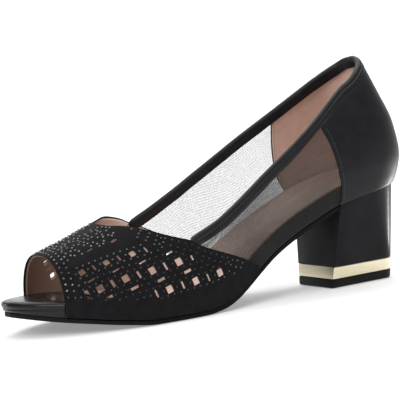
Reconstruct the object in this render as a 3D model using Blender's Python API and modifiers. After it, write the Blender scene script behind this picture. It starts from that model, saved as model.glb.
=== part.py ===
"""Left peep-toe pump with mesh sides on a block heel, about EU 38.

The shoe stands on the floor z = 0. Its toe points to -X, its outer side to -Y and its inner side to +Y.
Every size is in millimetres until a vertex is made, and MM turns it into Blender's metres.
A station s runs along the shoe from the back end of the heel seat (s = 0) to the tip of the toe.
A girth station q runs round the upper: 0 at the middle of the back, plus on the inner side, minus on the
outer side, and equal to s in size in front of the heel.
"""

import math
from bisect import bisect_right
from collections import namedtuple

import bmesh
import bpy
from mathutils import Vector

MM = 0.001
GAP = 0.3
FOLD_GAP = 0.4

# Driving sizes
TOE_TIP = 231.8
TOE_ROUND_FROM = 180.0
TOE_ROUNDNESS = 2.2
HEEL_CENTRE = 32.0
HEEL_ROUNDNESS = 2.25
PEEP_TOE = 210.0
THROAT = 175.0
OUTER_VAMP_TOP = 140.0
INNER_VAMP_TOP = 144.5
SEAT_CLEARANCE = 0.5
BREAST_TOP = 45.0
SOLE_FLAT_FROM = 137.0
SOLE_FLAT_TO = 165.0

# Thicknesses of the leathers, measured inwards from the outside of the finished upper
PANEL = 1.2
WALL_OUTSIDE = PANEL + GAP
WALL = 1.0
WALL_INSIDE = WALL_OUTSIDE + WALL
INSOLE_CLEARANCE = 1.0
BINDING = 0.9
BINDING_INSIDE_SHARE = 0.95
OUTSOLE_INSET = 1.4

# Heel: sizes of its foot, its gold band and its top lift
HEEL_FOOT_FRONT = 51.0
HEEL_FOOT_BACK = 7.5
HEEL_FOOT_FRONT_WIDTH = 35.0
HEEL_FOOT_BACK_WIDTH = 25.0
HEEL_CORNER = 6.0
HEEL_FRONT_CORNER = 1.0
HEEL_TOP_FRONT_WIDTH = 50.0
HEEL_TOP_INSET = 1.0
LIFT_HEIGHT = 4.6
BAND_TOP = 11.3
BAND_WALL = 1.2

# Fineness of the facets round the heel
HEEL_STEPS = 16

# The bottom of the shoe: height of the lasted seat, thickness of outsole and insole,
# the middle line and the half widths from it on the outer and inner side
Sole = namedtuple("Sole", "s seat outsole insole middle outer inner")
SOLE_ROWS = [
    Sole(0, 53.0, 2.2, 10.0, 0.0, 27.0, 27.0),
    Sole(23, 49.3, 2.2, 9.5, 0.0, 27.0, 27.0),
    Sole(46, 44.5, 2.2, 9.0, 0.0, 26.8, 26.6),
    Sole(58, 39.8, 2.2, 9.0, 0.2, 26.6, 26.0),
    Sole(75, 32.2, 2.2, 9.0, 0.5, 26.6, 25.2),
    Sole(87, 25.6, 2.2, 9.0, 0.8, 27.2, 25.2),
    Sole(97, 18.8, 2.2, 9.4, 1.2, 28.8, 26.0),
    Sole(106, 12.6, 2.2, 9.6, 1.6, 31.2, 27.4),
    Sole(116, 6.8, 2.2, 9.0, 2.0, 34.4, 29.8),
    Sole(126, 3.4, 2.2, 8.4, 4.0, 38.8, 31.0),
    Sole(137, 2.2, 2.2, 8.2, 6.0, 43.0, 32.2),
    Sole(150, 2.2, 2.2, 8.4, 8.0, 46.4, 33.4),
    Sole(165, 2.2, 2.2, 9.0, 9.0, 47.6, 34.4),
    Sole(183, 4.2, 2.2, 10.0, 8.0, 43.6, 34.6),
    Sole(198, 6.6, 2.2, 9.6, 6.2, 38.2, 32.8),
    Sole(214, 9.3, 2.2, 8.2, 4.6, 32.5, 28.4),
    Sole(TOE_TIP, 13.0, 2.2, 5.8, 4.0, 27.0, 25.0),
]

# The dome of the last over the seat: its height, and its roundness as the power of a superellipse
Dome = namedtuple("Dome", "q height power")
DOME_ROWS = [
    Dome(0, 122.0, 2.4),
    Dome(32, 122.0, 2.4),
    Dome(60, 118.0, 2.4),
    Dome(85, 110.0, 2.4),
    Dome(103, 98.0, 2.4),
    Dome(118, 82.0, 2.4),
    Dome(130, 71.0, 2.35),
    Dome(140, 64.0, 2.3),
    Dome(152, 58.0, 2.25),
    Dome(172, 49.2, 2.25),
    Dome(190, 40.0, 2.35),
    Dome(PEEP_TOE, 31.0, 2.5),
]

# The back curve: how far the heel stands out from the seat, at the middle of the back and at its sides
Bulge = namedtuple("Bulge", "rise back side")
BULGE_ROWS = [
    Bulge(0, 0.0, 0.0),
    Bulge(6, 3.2, 1.0),
    Bulge(16, 5.8, 1.8),
    Bulge(33, 3.7, 0.6),
    Bulge(50, -2.2, -3.6),
    Bulge(65, -7.0, -8.4),
    Bulge(72, -8.6, -10.4),
]
BULGE_FADES_AT = 90.0

# Height over the floor of the collar, from the back of the heel to the vamp
Collar = namedtuple("Collar", "q outer inner")
COLLAR_ROWS = [
    Collar(0, 122.0, 122.0),
    Collar(8, 120.2, 121.2),
    Collar(18, 116.2, 118.0),
    Collar(28, 110.2, 113.7),
    Collar(37, 104.2, 108.6),
    Collar(46, 97.3, 103.1),
    Collar(55, 90.0, 97.7),
    Collar(65, 82.6, 91.9),
    Collar(86, 68.1, 79.9),
    Collar(106, 55.0, 68.3),
    Collar(123, 45.8, 58.6),
    Collar(OUTER_VAMP_TOP, 39.2, 49.3),
    Collar(INNER_VAMP_TOP, 37.4, 47.0),
]

# Width of the binding round the collar
Binding = namedtuple("Binding", "q width")
BINDING_ROWS = [
    Binding(-OUTER_VAMP_TOP, 4.6),
    Binding(-76, 4.5),
    Binding(-52, 3.6),
    Binding(-20, 3.8),
    Binding(0, 4.0),
    Binding(20, 4.2),
    Binding(100, 4.3),
    Binding(INNER_VAMP_TOP, 4.7),
]

# Height over the floor of the throat's edge, from the collar up to the ridge of the vamp
Throat = namedtuple("Throat", "q outer inner")
THROAT_ROWS = [
    Throat(OUTER_VAMP_TOP, 39.2, 45.2),
    Throat(INNER_VAMP_TOP, 40.7, 47.0),
    Throat(149, 42.3, 49.2),
    Throat(155, 44.7, 51.1),
    Throat(161, 47.2, 52.4),
    Throat(166, 49.1, 52.8),
    Throat(170, 49.8, 52.2),
    Throat(173.0, 50.0, 51.3),
    Throat(174.4, 50.3, 51.0),
    Throat(THROAT, 50.8, 50.8),
]

# Height over the floor of the vamp's back edge, from the throat down to the sole
VampEdge = namedtuple("VampEdge", "q outer inner")
VAMP_ROWS = [
    VampEdge(99, 19.4, 19.4),
    VampEdge(108.5, 24.8, 26.6),
    VampEdge(120, 29.6, 34.6),
    VampEdge(133, 34.8, 41.6),
    VampEdge(OUTER_VAMP_TOP, 39.2, 45.1),
    VampEdge(INNER_VAMP_TOP, 42.0, 47.0),
]
VAMP_END = VAMP_ROWS[0].q + 1.0

# Girth station of the counter's front edge at each height over the seat
CounterEdge = namedtuple("CounterEdge", "rise outer inner")
COUNTER_ROWS = [
    CounterEdge(0, 46.8, 46.4),
    CounterEdge(4.5, 45.6, 47.4),
    CounterEdge(10, 45.2, 50.0),
    CounterEdge(17.5, 45.7, 53.0),
    CounterEdge(30, 47.7, 55.3),
    CounterEdge(45, 51.9, 56.2),
    CounterEdge(58, 55.4, 56.7),
]
COUNTER_FRONT = 45.2
COUNTER_LEAN_FADES = 16.0

Finish = namedtuple("Finish", "colour roughness metallic")
BLACK_RUBBER = Finish((0.012, 0.012, 0.012), 0.6, 0.0)
BLACK_LEATHER = Finish((0.02, 0.02, 0.023), 0.42, 0.0)
BLACK_MESH = Finish((0.03, 0.028, 0.028), 0.7, 0.0)
BLACK_SUEDE = Finish((0.014, 0.014, 0.016), 0.9, 0.0)
GLOSS_BLACK = Finish((0.015, 0.015, 0.016), 0.12, 0.0)
PALE_GOLD = Finish((0.86, 0.78, 0.55), 0.25, 1.0)


def track(rows, key, column):
    """A smooth curve through one column of a table, with no overshoot between its rows."""
    keys = [getattr(row, key) for row in rows]
    values = [getattr(row, column) for row in rows]
    steps = [b - a for a, b in zip(keys, keys[1:])]
    slopes = [(b - a) / step for a, b, step in zip(values, values[1:], steps)]
    tangents = [slopes[0]]
    for before, after in zip(slopes, slopes[1:]):
        same_way = before * after > 0
        tangents.append(2 * before * after / (before + after) if same_way else 0.0)
    tangents.append(slopes[-1])

    def value(at):
        at = min(max(at, keys[0]), keys[-1])
        i = min(bisect_right(keys, at), len(steps)) - 1
        t = (at - keys[i]) / steps[i]
        rise = values[i + 1] - values[i]
        start = tangents[i] * steps[i]
        end = tangents[i + 1] * steps[i]
        bend = 3 * rise - 2 * start - end
        twist = start + end - 2 * rise
        return values[i] + t * start + t * t * bend + t**3 * twist

    return value


seat = track(SOLE_ROWS, "s", "seat")
outsole_thickness = track(SOLE_ROWS, "s", "outsole")
insole_thickness = track(SOLE_ROWS, "s", "insole")
middle = track(SOLE_ROWS, "s", "middle")
outer_half = track(SOLE_ROWS, "s", "outer")
inner_half = track(SOLE_ROWS, "s", "inner")
dome_height = track(DOME_ROWS, "q", "height")
dome_power = track(DOME_ROWS, "q", "power")
back_bulge = track(BULGE_ROWS, "rise", "back")
side_bulge = track(BULGE_ROWS, "rise", "side")
outer_collar = track(COLLAR_ROWS, "q", "outer")
inner_collar = track(COLLAR_ROWS, "q", "inner")
outer_throat = track(THROAT_ROWS, "q", "outer")
inner_throat = track(THROAT_ROWS, "q", "inner")
outer_vamp = track(VAMP_ROWS, "q", "outer")
inner_vamp = track(VAMP_ROWS, "q", "inner")
outer_counter = track(COUNTER_ROWS, "rise", "outer")
inner_counter = track(COUNTER_ROWS, "rise", "inner")
binding_width = track(BINDING_ROWS, "q", "width")


def steps_between(start, end, count):
    return [start + (end - start) * i / count for i in range(count + 1)]


def smooth_step(t):
    t = min(max(t, 0.0), 1.0)
    return t * t * (3 - 2 * t)


def half_width(side, s, inset=0.0):
    """Half width of the finished shoe's bottom at a station, round at the heel and at the toe."""
    base = (inner_half(s) if side > 0 else outer_half(s)) - inset
    if s > TOE_ROUND_FROM:
        t = min((s - TOE_ROUND_FROM) / (TOE_TIP - inset - TOE_ROUND_FROM), 1.0)
        base *= (1 - t**TOE_ROUNDNESS) ** (1 / TOE_ROUNDNESS)
    if s < HEEL_CENTRE:
        t = min((HEEL_CENTRE - s) / (HEEL_CENTRE - inset), 1.0)
        base *= (1 - t**HEEL_ROUNDNESS) ** (1 / HEEL_ROUNDNESS)
    return base


def foot_and_spine(q):
    """Where a girth station stands on the seat, and the point of the middle line its section leans to."""
    side = 1 if q >= 0 else -1
    size = abs(q)
    if size >= HEEL_CENTRE:
        foot = Vector((-size, middle(size) + side * half_width(side, size)))
        return foot, Vector((-size, middle(size)))
    turn = math.pi / 2 * size / HEEL_CENTRE
    along = HEEL_CENTRE * math.cos(turn) ** (2 / HEEL_ROUNDNESS)
    across = half_width(side, HEEL_CENTRE) * math.sin(turn) ** (2 / HEEL_ROUNDNESS)
    return Vector((along - HEEL_CENTRE, side * across)), Vector((-HEEL_CENTRE, 0.0))


def form_point(q, rise):
    """Point on the outside of the finished upper, at a height over the seat."""
    foot, spine = foot_and_spine(q)
    size = abs(q)
    share = min(rise / dome_height(size), 1.0) ** dome_power(size)
    reach = (1 - share) ** (1 / dome_power(size))
    out = foot - spine
    backness = smooth_step(1 - size / HEEL_CENTRE)
    sideness = smooth_step((BULGE_FADES_AT - size) / (BULGE_FADES_AT - HEEL_CENTRE))
    bulge = backness * back_bulge(rise) + (1 - backness) * sideness * side_bulge(rise)
    plan = spine + out * reach + out.normalized() * bulge
    return Vector((plan.x, plan.y, seat(-foot.x) + rise))


def seat_at(q):
    return seat(-foot_and_spine(q)[0].x)


def vamp_top(q):
    """Girth station where throat, collar and vamp edge meet on one side."""
    return INNER_VAMP_TOP if q > 0 else OUTER_VAMP_TOP


def ridge_rise(q):
    return dome_height(abs(q))


def top_rise(q):
    """Height over the seat of the upper's top edge: ridge, then throat, then collar."""
    if abs(q) >= THROAT:
        return ridge_rise(q)
    if abs(q) > vamp_top(q):
        top = inner_throat(q) if q > 0 else outer_throat(-q)
    else:
        top = inner_collar(q) if q > 0 else outer_collar(-q)
    return min(top - seat_at(q), ridge_rise(q))


def vamp_rise(q):
    if abs(q) >= vamp_top(q):
        return top_rise(q)
    edge = inner_vamp(q) if q > 0 else outer_vamp(-q)
    return edge - seat_at(q)


def binding_drop(q):
    """Upright width of the binding at a girth station, so that it is equally wide across its own line."""
    reach = 2.0
    ahead, behind = [top_rise(at) + seat_at(at) for at in (q + reach, q - reach)]
    slope = (ahead - behind) / (2 * reach)
    return binding_width(q) * math.sqrt(1 + slope * slope)


def counter_rise(q):
    return top_rise(q) - binding_drop(q) - 2 * GAP


def column(station_of, bottom, top, rows, dense=48):
    """Evenly spaced points up the form between two heights over the seat. The station may lean."""
    turns = steps_between(0.0, math.pi / 2, dense)
    heights = [bottom + (top - bottom) * math.sin(turn) for turn in turns]
    path = [form_point(station_of(h), h) for h in heights]
    lengths = [0.0]
    for a, b in zip(path, path[1:]):
        lengths.append(lengths[-1] + (b - a).length)
    points = []
    for wanted in steps_between(0.0, lengths[-1], rows):
        i = min(max(bisect_right(lengths, wanted) - 1, 0), dense - 1)
        span = lengths[i + 1] - lengths[i]
        points.append(path[i].lerp(path[i + 1], (wanted - lengths[i]) / span))
    return points


def make_material(name, finish):
    material = bpy.data.materials.new(name)
    material.use_nodes = True
    shader = material.node_tree.nodes["Principled BSDF"]
    shader.inputs["Base Color"].default_value = (*finish.colour, 1.0)
    shader.inputs["Roughness"].default_value = finish.roughness
    shader.inputs["Metallic"].default_value = finish.metallic
    return material


def add_part(name, bm, finish, sharp_degrees=35):
    """Turns a bmesh in millimetres into a named object with its own material."""
    bmesh.ops.scale(bm, vec=(MM, MM, MM), verts=bm.verts)
    mesh = bpy.data.meshes.new(name)
    bm.to_mesh(mesh)
    bm.free()
    mesh.shade_smooth()
    mesh.set_sharp_from_angle(angle=math.radians(sharp_degrees))
    mesh.materials.append(make_material(name, finish))
    part = bpy.data.objects.new(name, mesh)
    parts_collection.objects.link(part)
    part.parent = shoe
    return part


def add_strips(bm, columns):
    """Faces between neighbouring columns of points, facing outwards for columns in rising order of q."""
    made = [[bm.verts.new(p) for p in points] for points in columns]
    for left, right in zip(made, made[1:]):
        for i in range(len(left) - 1):
            bm.faces.new((left[i], right[i], right[i + 1], left[i + 1]))


def sink(bm, depth):
    """Moves a surface inwards along its normals. Points on the seat stay at their height."""
    edge = [v for v in bm.verts if v.is_boundary]
    lowest = {v for v in edge if abs(v.co.z - seat(-v.co.x) - SEAT_CLEARANCE) < 1.0}
    bm.normal_update()
    moves = {v: -depth * v.normal for v in bm.verts}
    for v, move in moves.items():
        if v in lowest:
            move = Vector((move.x, move.y, 0.0)).normalized() * depth
        v.co += move


def panel(name, strips, depth, thickness, finish):
    """A wall that follows the form: its outside lies depth inside the form and it is thickness thick."""
    bm = bmesh.new()
    for columns in strips:
        add_strips(bm, columns)
    bmesh.ops.remove_doubles(bm, verts=bm.verts, dist=0.02)
    sink(bm, depth)
    part = add_part(name, bm, finish)
    shell = part.modifiers.new("thickness", "SOLIDIFY")
    shell.thickness = thickness * MM
    shell.offset = -1.0
    shell.use_even_offset = True
    return part


def loft(bm, rings):
    """Closes a body between rings of equal length, with a flat face at each end."""
    made = [[bm.verts.new(p) for p in ring] for ring in rings]
    for low, high in zip(made, made[1:]):
        for i in range(len(low)):
            j = (i + 1) % len(low)
            bm.faces.new((low[i], low[j], high[j], high[i]))
    bm.faces.new(reversed(made[0]))
    bm.faces.new(made[-1])
    bmesh.ops.recalc_face_normals(bm, faces=bm.faces)


def heel_stations():
    return steps_between(-HEEL_CENTRE, HEEL_CENTRE, HEEL_STEPS)


def vamp_stations(side):
    """Girth stations of the vamp on one side, from the open toe to its back corner."""
    top = vamp_top(side)
    sizes = steps_between(PEEP_TOE, THROAT, 5)[:-1] + [THROAT, THROAT - 0.9]
    sizes += steps_between(THROAT - 3.5, top, 7)[:-1]
    return [side * size for size in sizes + steps_between(top, VAMP_END, 8)]


def quarter_stations(side, front, count):
    """Girth stations from the heel forward on one side, without the first, which the heel has."""
    return [side * size for size in steps_between(HEEL_CENTRE, front, count)[1:]]


def make_upper():
    """The hollow wall of the upper: mesh sides, and the lining under vamp and counter."""
    stations = vamp_stations(-1) + quarter_stations(-1, VAMP_END, 10)[-2::-1]
    stations += heel_stations() + quarter_stations(1, VAMP_END, 10)[:-1] + vamp_stations(1)[::-1]
    columns = [column(lambda _, q=q: q, SEAT_CLEARANCE, top_rise(q), 12) for q in stations]
    return panel("upper", [columns], WALL_OUTSIDE, WALL, BLACK_MESH)


def make_vamp():
    """The suede panel over the front of the upper, from the open toe to its back edges."""
    outer = [column(lambda _, q=q: q, SEAT_CLEARANCE, vamp_rise(q), 12) for q in vamp_stations(-1)]
    inner = [column(lambda _, q=q: q, SEAT_CLEARANCE, vamp_rise(q), 12) for q in vamp_stations(1)[::-1]]
    return panel("vamp", [outer, inner], 0.0, PANEL, BLACK_SUEDE)


def make_counter():
    """The leather panel round the back of the heel."""

    def leaning(q):
        forward = smooth_step((abs(q) - COUNTER_FRONT + COUNTER_LEAN_FADES) / COUNTER_LEAN_FADES)
        edge = inner_counter if q > 0 else outer_counter
        return lambda rise: q + math.copysign(forward * (edge(rise) - COUNTER_FRONT), q)

    columns = []
    ends = [quarter_stations(side, COUNTER_FRONT, 4) for side in (-1, 1)]
    for q in ends[0][::-1] + heel_stations() + ends[1]:
        station_of = leaning(q)
        top = counter_rise(station_of(counter_rise(q)))
        columns.append(column(station_of, SEAT_CLEARANCE, top, 9))
    return panel("heel_counter", [columns], 0.0, PANEL, BLACK_LEATHER)


def make_binding():
    """The leather strip folded over the collar from one side of the vamp to the other."""
    half_wall = WALL / 2 + FOLD_GAP
    depths = (1.0, BINDING_INSIDE_SHARE, 0.4, 0.1)
    end_gap = 1.2
    end_lean = 1.45
    end_fades = 26.0
    ends = [quarter_stations(side, vamp_top(side) - end_gap, 15) for side in (-1, 1)]
    stations = ends[0][::-1] + heel_stations() + ends[1]
    bm = bmesh.new()
    grid = []
    for q in stations:
        fade = smooth_step((abs(q) - vamp_top(q) + end_gap + end_fades) / end_fades)
        points = []
        for share in depths:
            drop = binding_drop(q) * share
            leaned = q - math.copysign(end_lean * fade * drop, q)
            points.append(form_point(leaned, top_rise(leaned) - binding_drop(leaned) * share))
        grid.append(points)
    add_strips(bm, grid)
    bm.verts.ensure_lookup_table()
    sink(bm, WALL_OUTSIDE + WALL / 2)
    bm.normal_update()
    rows = len(depths)
    sections = []
    for i in range(len(stations)):
        wall = [bm.verts[i * rows + k] for k in range(rows)]
        outside = [v.co + v.normal * half_wall for v in wall]
        inside = [v.co - v.normal * half_wall for v in reversed(wall[1:])]
        up = (wall[-1].co - wall[0].co).normalized()
        crest = [
            wall[-1].co + half_wall * (wall[-1].normal * math.cos(a) + up * (math.sin(a) + 0.5))
            for a in steps_between(math.radians(35), math.radians(145), 2)
        ]
        sections.append(outside + crest + inside)
    bm.clear()
    add_strips(bm, sections)
    part = add_part("topline_binding", bm, BLACK_LEATHER, 60)
    fold = part.modifiers.new("thickness", "SOLIDIFY")
    fold.thickness = BINDING * MM
    fold.offset = 1.0
    fold.use_even_offset = True
    return part


def slab_section(s, bottom, top, inset, shoulder):
    """One cross section of a sole layer: flat under, with rounded upper edges."""
    outer = middle(s) - half_width(-1, s, inset)
    inner = middle(s) + half_width(1, s, inset)
    width = inner - outer
    round_off = min(shoulder, 0.45 * width, top - bottom - 0.5)
    section = [Vector((-s, outer, bottom))]
    for angle in steps_between(0.0, math.pi / 2, 3):
        lift = round_off * (1 - math.sin(angle))
        section.append(Vector((-s, outer + round_off * (1 - math.cos(angle)), top - lift)))
    mirrored = [Vector((p.x, inner - (p.y - outer), p.z)) for p in reversed(section)]
    return section + mirrored


def toe_stations(last, count):
    """Stations that crowd towards the tip, where the outline turns."""
    reach = last - PEEP_TOE
    return [PEEP_TOE + reach * math.sin(math.pi / 2 * i / count) for i in range(1, count + 1)]


def make_insole():
    """The wrapped insole board: full width in the open toe, and inside the upper's wall behind it."""
    inside = WALL_INSIDE + INSOLE_CLEARANCE
    shoulder = 3.2
    end = TOE_TIP - 0.4
    rings = []
    heel_end = inside
    for turn in steps_between(8, 90, 8)[:-1]:
        s = heel_end + (HEEL_CENTRE - heel_end) * (1 - math.cos(math.radians(turn)))
        rings.append(slab_section(s, seat(s) + GAP, seat(s) + insole_thickness(s), inside, 1.6))
    for s in steps_between(HEEL_CENTRE, PEEP_TOE, 20):
        rings.append(slab_section(s, seat(s) + GAP, seat(s) + insole_thickness(s), inside, 1.6))
    for s in [PEEP_TOE + GAP] + toe_stations(end, 8):
        short = max(shoulder - (TOE_TIP - s), 0.0)
        drop = shoulder - math.sqrt(shoulder * shoulder - short * short)
        top = seat(s) + insole_thickness(s) - drop
        rings.append(slab_section(s, seat(s) + GAP, top, 0.0, shoulder))
    bm = bmesh.new()
    loft(bm, rings)
    return add_part("insole", bm, BLACK_LEATHER)


def make_outsole():
    """The thin rubber sole from the heel breast to the toe, flat on the floor under the ball."""
    stations = steps_between(BREAST_TOP + 2 * GAP, SOLE_FLAT_FROM, 16)
    stations += steps_between(SOLE_FLAT_TO, PEEP_TOE, 7)
    stations += toe_stations(TOE_TIP - OUTSOLE_INSET - 0.2, 7)
    rings = []
    for s in stations:
        rings.append(slab_section(s, seat(s) - outsole_thickness(s), seat(s), OUTSOLE_INSET, 0.4))
    bm = bmesh.new()
    loft(bm, rings)
    return add_part("outsole", bm, BLACK_RUBBER)


def rounded_foot(inset):
    """Plan of the heel's foot: a straight breast, converging sides and round back corners."""
    front = -HEEL_FOOT_FRONT + inset
    back = -HEEL_FOOT_BACK - inset
    wide = HEEL_FOOT_FRONT_WIDTH / 2 - inset
    narrow = HEEL_FOOT_BACK_WIDTH / 2 - inset
    corner = HEEL_CORNER - min(inset, HEEL_CORNER / 2)
    bevel = HEEL_FRONT_CORNER
    plan = [Vector((front, -wide + bevel)), Vector((front + bevel, -wide))]
    side_end = Vector((back - corner, -narrow))
    plan += [plan[1].lerp(side_end, t) for t in (0.34, 0.67)]
    for angle in steps_between(0.0, math.pi / 2, 5):
        along = back - corner + corner * math.sin(angle)
        plan.append(Vector((along, -narrow + corner * (1 - math.cos(angle)))))
    plan.append(Vector((back, 0.0)))
    return plan + [Vector((p.x, -p.y)) for p in reversed(plan[:-1])]


def heel_top_plan():
    """Plan of the heel where it meets the seat, with as many points as the foot."""
    bevel = HEEL_FRONT_CORNER
    wide = HEEL_TOP_FRONT_WIDTH / 2
    plan = [Vector((-BREAST_TOP, -wide + bevel)), Vector((-BREAST_TOP + bevel, -wide))]
    for q in (-38.0, -33.0, -28.0, -23.5, -19.0, -14.5, -10.0, -5.0, 0.0):
        foot, spine = foot_and_spine(q)
        plan.append(foot - (foot - spine).normalized() * HEEL_TOP_INSET)
    return plan + [Vector((p.x, -p.y)) for p in reversed(plan[:-1])]


def heel_ring(height_share, inset=0.0):
    """Plan of the heel part of the way from its foot to the seat."""
    return [foot.lerp(top, height_share) for foot, top in zip(rounded_foot(inset), heel_top_plan())]


def make_heel_block():
    """The heel: a neck through the gold band, then the block that widens to the seat."""
    neck = BAND_WALL + GAP
    low_share = LIFT_HEIGHT / seat(BREAST_TOP)
    band_share = BAND_TOP / seat(BREAST_TOP)
    rings = [[Vector((p.x, p.y, LIFT_HEIGHT + GAP)) for p in heel_ring(low_share, neck)]]
    rings.append([Vector((p.x, p.y, BAND_TOP + GAP)) for p in heel_ring(band_share, neck)])
    rings.append([Vector((p.x, p.y, BAND_TOP + GAP)) for p in heel_ring(band_share)])
    for t in steps_between(0.0, 1.0, 4)[1:]:
        plan = heel_ring(band_share + (1 - band_share) * t)
        ring = []
        for p in plan:
            top = seat(max(-p.x, 0.0)) - GAP
            ring.append(Vector((p.x, p.y, BAND_TOP + GAP + (top - BAND_TOP - GAP) * t)))
        rings.append(ring)
    bm = bmesh.new()
    loft(bm, rings)
    return add_part("heel_block", bm, GLOSS_BLACK)


def make_heel_band():
    """The gold band let in round the heel."""
    low_share = LIFT_HEIGHT / seat(BREAST_TOP)
    high_share = BAND_TOP / seat(BREAST_TOP)
    low = LIFT_HEIGHT + GAP
    outside_low = [Vector((p.x, p.y, low)) for p in heel_ring(low_share)]
    outside_high = [Vector((p.x, p.y, BAND_TOP)) for p in heel_ring(high_share)]
    inside_low = [Vector((p.x, p.y, low)) for p in heel_ring(low_share, BAND_WALL)]
    inside_high = [Vector((p.x, p.y, BAND_TOP)) for p in heel_ring(high_share, BAND_WALL)]
    rings = [outside_low, outside_high, inside_high, inside_low]
    bm = bmesh.new()
    made = [[bm.verts.new(p) for p in ring] for ring in rings]
    for ring, beside in zip(made, made[1:] + made[:1]):
        for i in range(len(ring)):
            j = (i + 1) % len(ring)
            bm.faces.new((ring[i], ring[j], beside[j], beside[i]))
    bmesh.ops.recalc_face_normals(bm, faces=bm.faces)
    return add_part("heel_band", bm, PALE_GOLD)


def make_top_lift():
    """The rubber lift that the heel stands on."""
    chamfer = 0.5
    share = LIFT_HEIGHT / seat(BREAST_TOP)
    rings = [[Vector((p.x, p.y, 0.0)) for p in heel_ring(0.0, chamfer)]]
    rings.append([Vector((p.x, p.y, chamfer)) for p in heel_ring(0.0)])
    rings.append([Vector((p.x, p.y, LIFT_HEIGHT)) for p in heel_ring(share)])
    bm = bmesh.new()
    loft(bm, rings)
    return add_part("top_lift", bm, BLACK_RUBBER)


def centre_on_floor(parts):
    """Moves the shoe so that the origin is on the floor under the middle of its box."""
    bpy.context.view_layer.update()
    graph = bpy.context.evaluated_depsgraph_get()
    corners = []
    for part in parts:
        evaluated = part.evaluated_get(graph)
        corners += [evaluated.matrix_world @ Vector(c) for c in evaluated.bound_box]
    for axis in (0, 1):
        values = [c[axis] for c in corners]
        shoe.location[axis] = -(min(values) + max(values)) / 2


for old in list(bpy.data.objects):
    bpy.data.objects.remove(old)

parts_collection = bpy.data.collections.new("peep_toe_pump")
bpy.context.scene.collection.children.link(parts_collection)
shoe = bpy.data.objects.new("shoe", None)
parts_collection.objects.link(shoe)

centre_on_floor(
    [
        make_outsole(),
        make_insole(),
        make_upper(),
        make_vamp(),
        make_counter(),
        make_binding(),
        make_heel_block(),
        make_heel_band(),
        make_top_lift(),
    ]
)
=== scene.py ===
# %% [markdown]
# # A peep-toe pump with mesh sides on a block heel
#
# The frame holds every solid of the shoe at its real size and place, plain and without a finish.
# This lesson makes the surfaces that the eye sees: perforated suede, sheer mesh, smooth leather, a lacquered
# heel and its gold band. Each piece is laid on the same last as the solids, so all of them fit each other.

# %% Load the frame
import math
import random
from bisect import bisect_right
from collections import namedtuple
from functools import lru_cache

import bpy
from mathutils import Matrix, Vector


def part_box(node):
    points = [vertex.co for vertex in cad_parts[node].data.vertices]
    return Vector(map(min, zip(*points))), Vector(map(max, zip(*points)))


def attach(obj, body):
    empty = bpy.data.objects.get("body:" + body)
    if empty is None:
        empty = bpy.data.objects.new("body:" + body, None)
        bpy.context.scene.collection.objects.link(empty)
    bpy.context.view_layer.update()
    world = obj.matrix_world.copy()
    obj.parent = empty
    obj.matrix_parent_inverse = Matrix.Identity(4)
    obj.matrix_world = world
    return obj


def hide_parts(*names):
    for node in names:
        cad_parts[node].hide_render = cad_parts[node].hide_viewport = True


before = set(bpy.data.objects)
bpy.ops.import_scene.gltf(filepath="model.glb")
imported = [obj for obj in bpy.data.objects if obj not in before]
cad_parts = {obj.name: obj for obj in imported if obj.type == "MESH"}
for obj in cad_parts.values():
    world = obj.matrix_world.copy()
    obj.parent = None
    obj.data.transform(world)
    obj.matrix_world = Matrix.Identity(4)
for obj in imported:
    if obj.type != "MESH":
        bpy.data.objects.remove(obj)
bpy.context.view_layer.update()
MM = 0.001
print("nodes", sorted(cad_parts))

# %% [markdown]
# ## The camera first
#
# The photograph looks at the outer side from a little in front of it and just above the floor, through a long
# lens, with the picture turned by a few degrees. The camera is set from those angles, so that every later
# render can be laid beside the photograph.

# %% Camera
YAW = math.radians(27.4)
ELEVATION = math.radians(4.7)
ROLL = math.radians(-5.7)
DISTANCE = 1.0788
LOOK_AT = Vector((-3.4, -2.412, 56.0)) * MM
FOCAL_PIXELS = 2036.8
IMAGE_PIXELS = 400
SENSOR = 36.0

back = Vector((-math.sin(YAW), -math.cos(YAW), math.tan(ELEVATION))).normalized()
level_right = (-back).cross(Vector((0, 0, 1))).normalized()
level_up = level_right.cross(-back)
right = level_right * math.cos(ROLL) + level_up * math.sin(ROLL)
up = level_up * math.cos(ROLL) - level_right * math.sin(ROLL)

bpy.ops.object.select_all(action="DESELECT")
bpy.ops.object.camera_add()
camera = bpy.context.object
camera.matrix_world = Matrix.Translation(LOOK_AT + DISTANCE * back) @ Matrix((right, up, back)).transposed().to_4x4()
camera.data.sensor_width = SENSOR
camera.data.lens = FOCAL_PIXELS * SENSOR / IMAGE_PIXELS
camera.data.clip_end = 50.0
bpy.context.scene.camera = camera
print("lens", round(camera.data.lens, 1), "mm")

# %% [markdown]
# ## The last, as tables
#
# A shoe is built over a last, a solid foot shape. Its outline can't be drawn with a few primitives, so its main
# sizes stand in short tables, in millimetres, and a smooth curve runs through each column. A station s runs from
# the back of the heel seat to the toe. A girth station q runs round the upper: 0 at the middle of the back, plus
# on the inner side and minus on the outer side.

# %% Tables of the last
TOE_TIP, TOE_ROUND_FROM, TOE_ROUNDNESS = 231.8, 180.0, 2.2
HEEL_CENTRE, HEEL_ROUNDNESS = 32.0, 2.25
PEEP_TOE, THROAT = 210.0, 175.0
OUTER_VAMP_TOP, INNER_VAMP_TOP = 140.0, 144.5
GAP, SEAT_CLEARANCE = 0.3, 0.5

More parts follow.
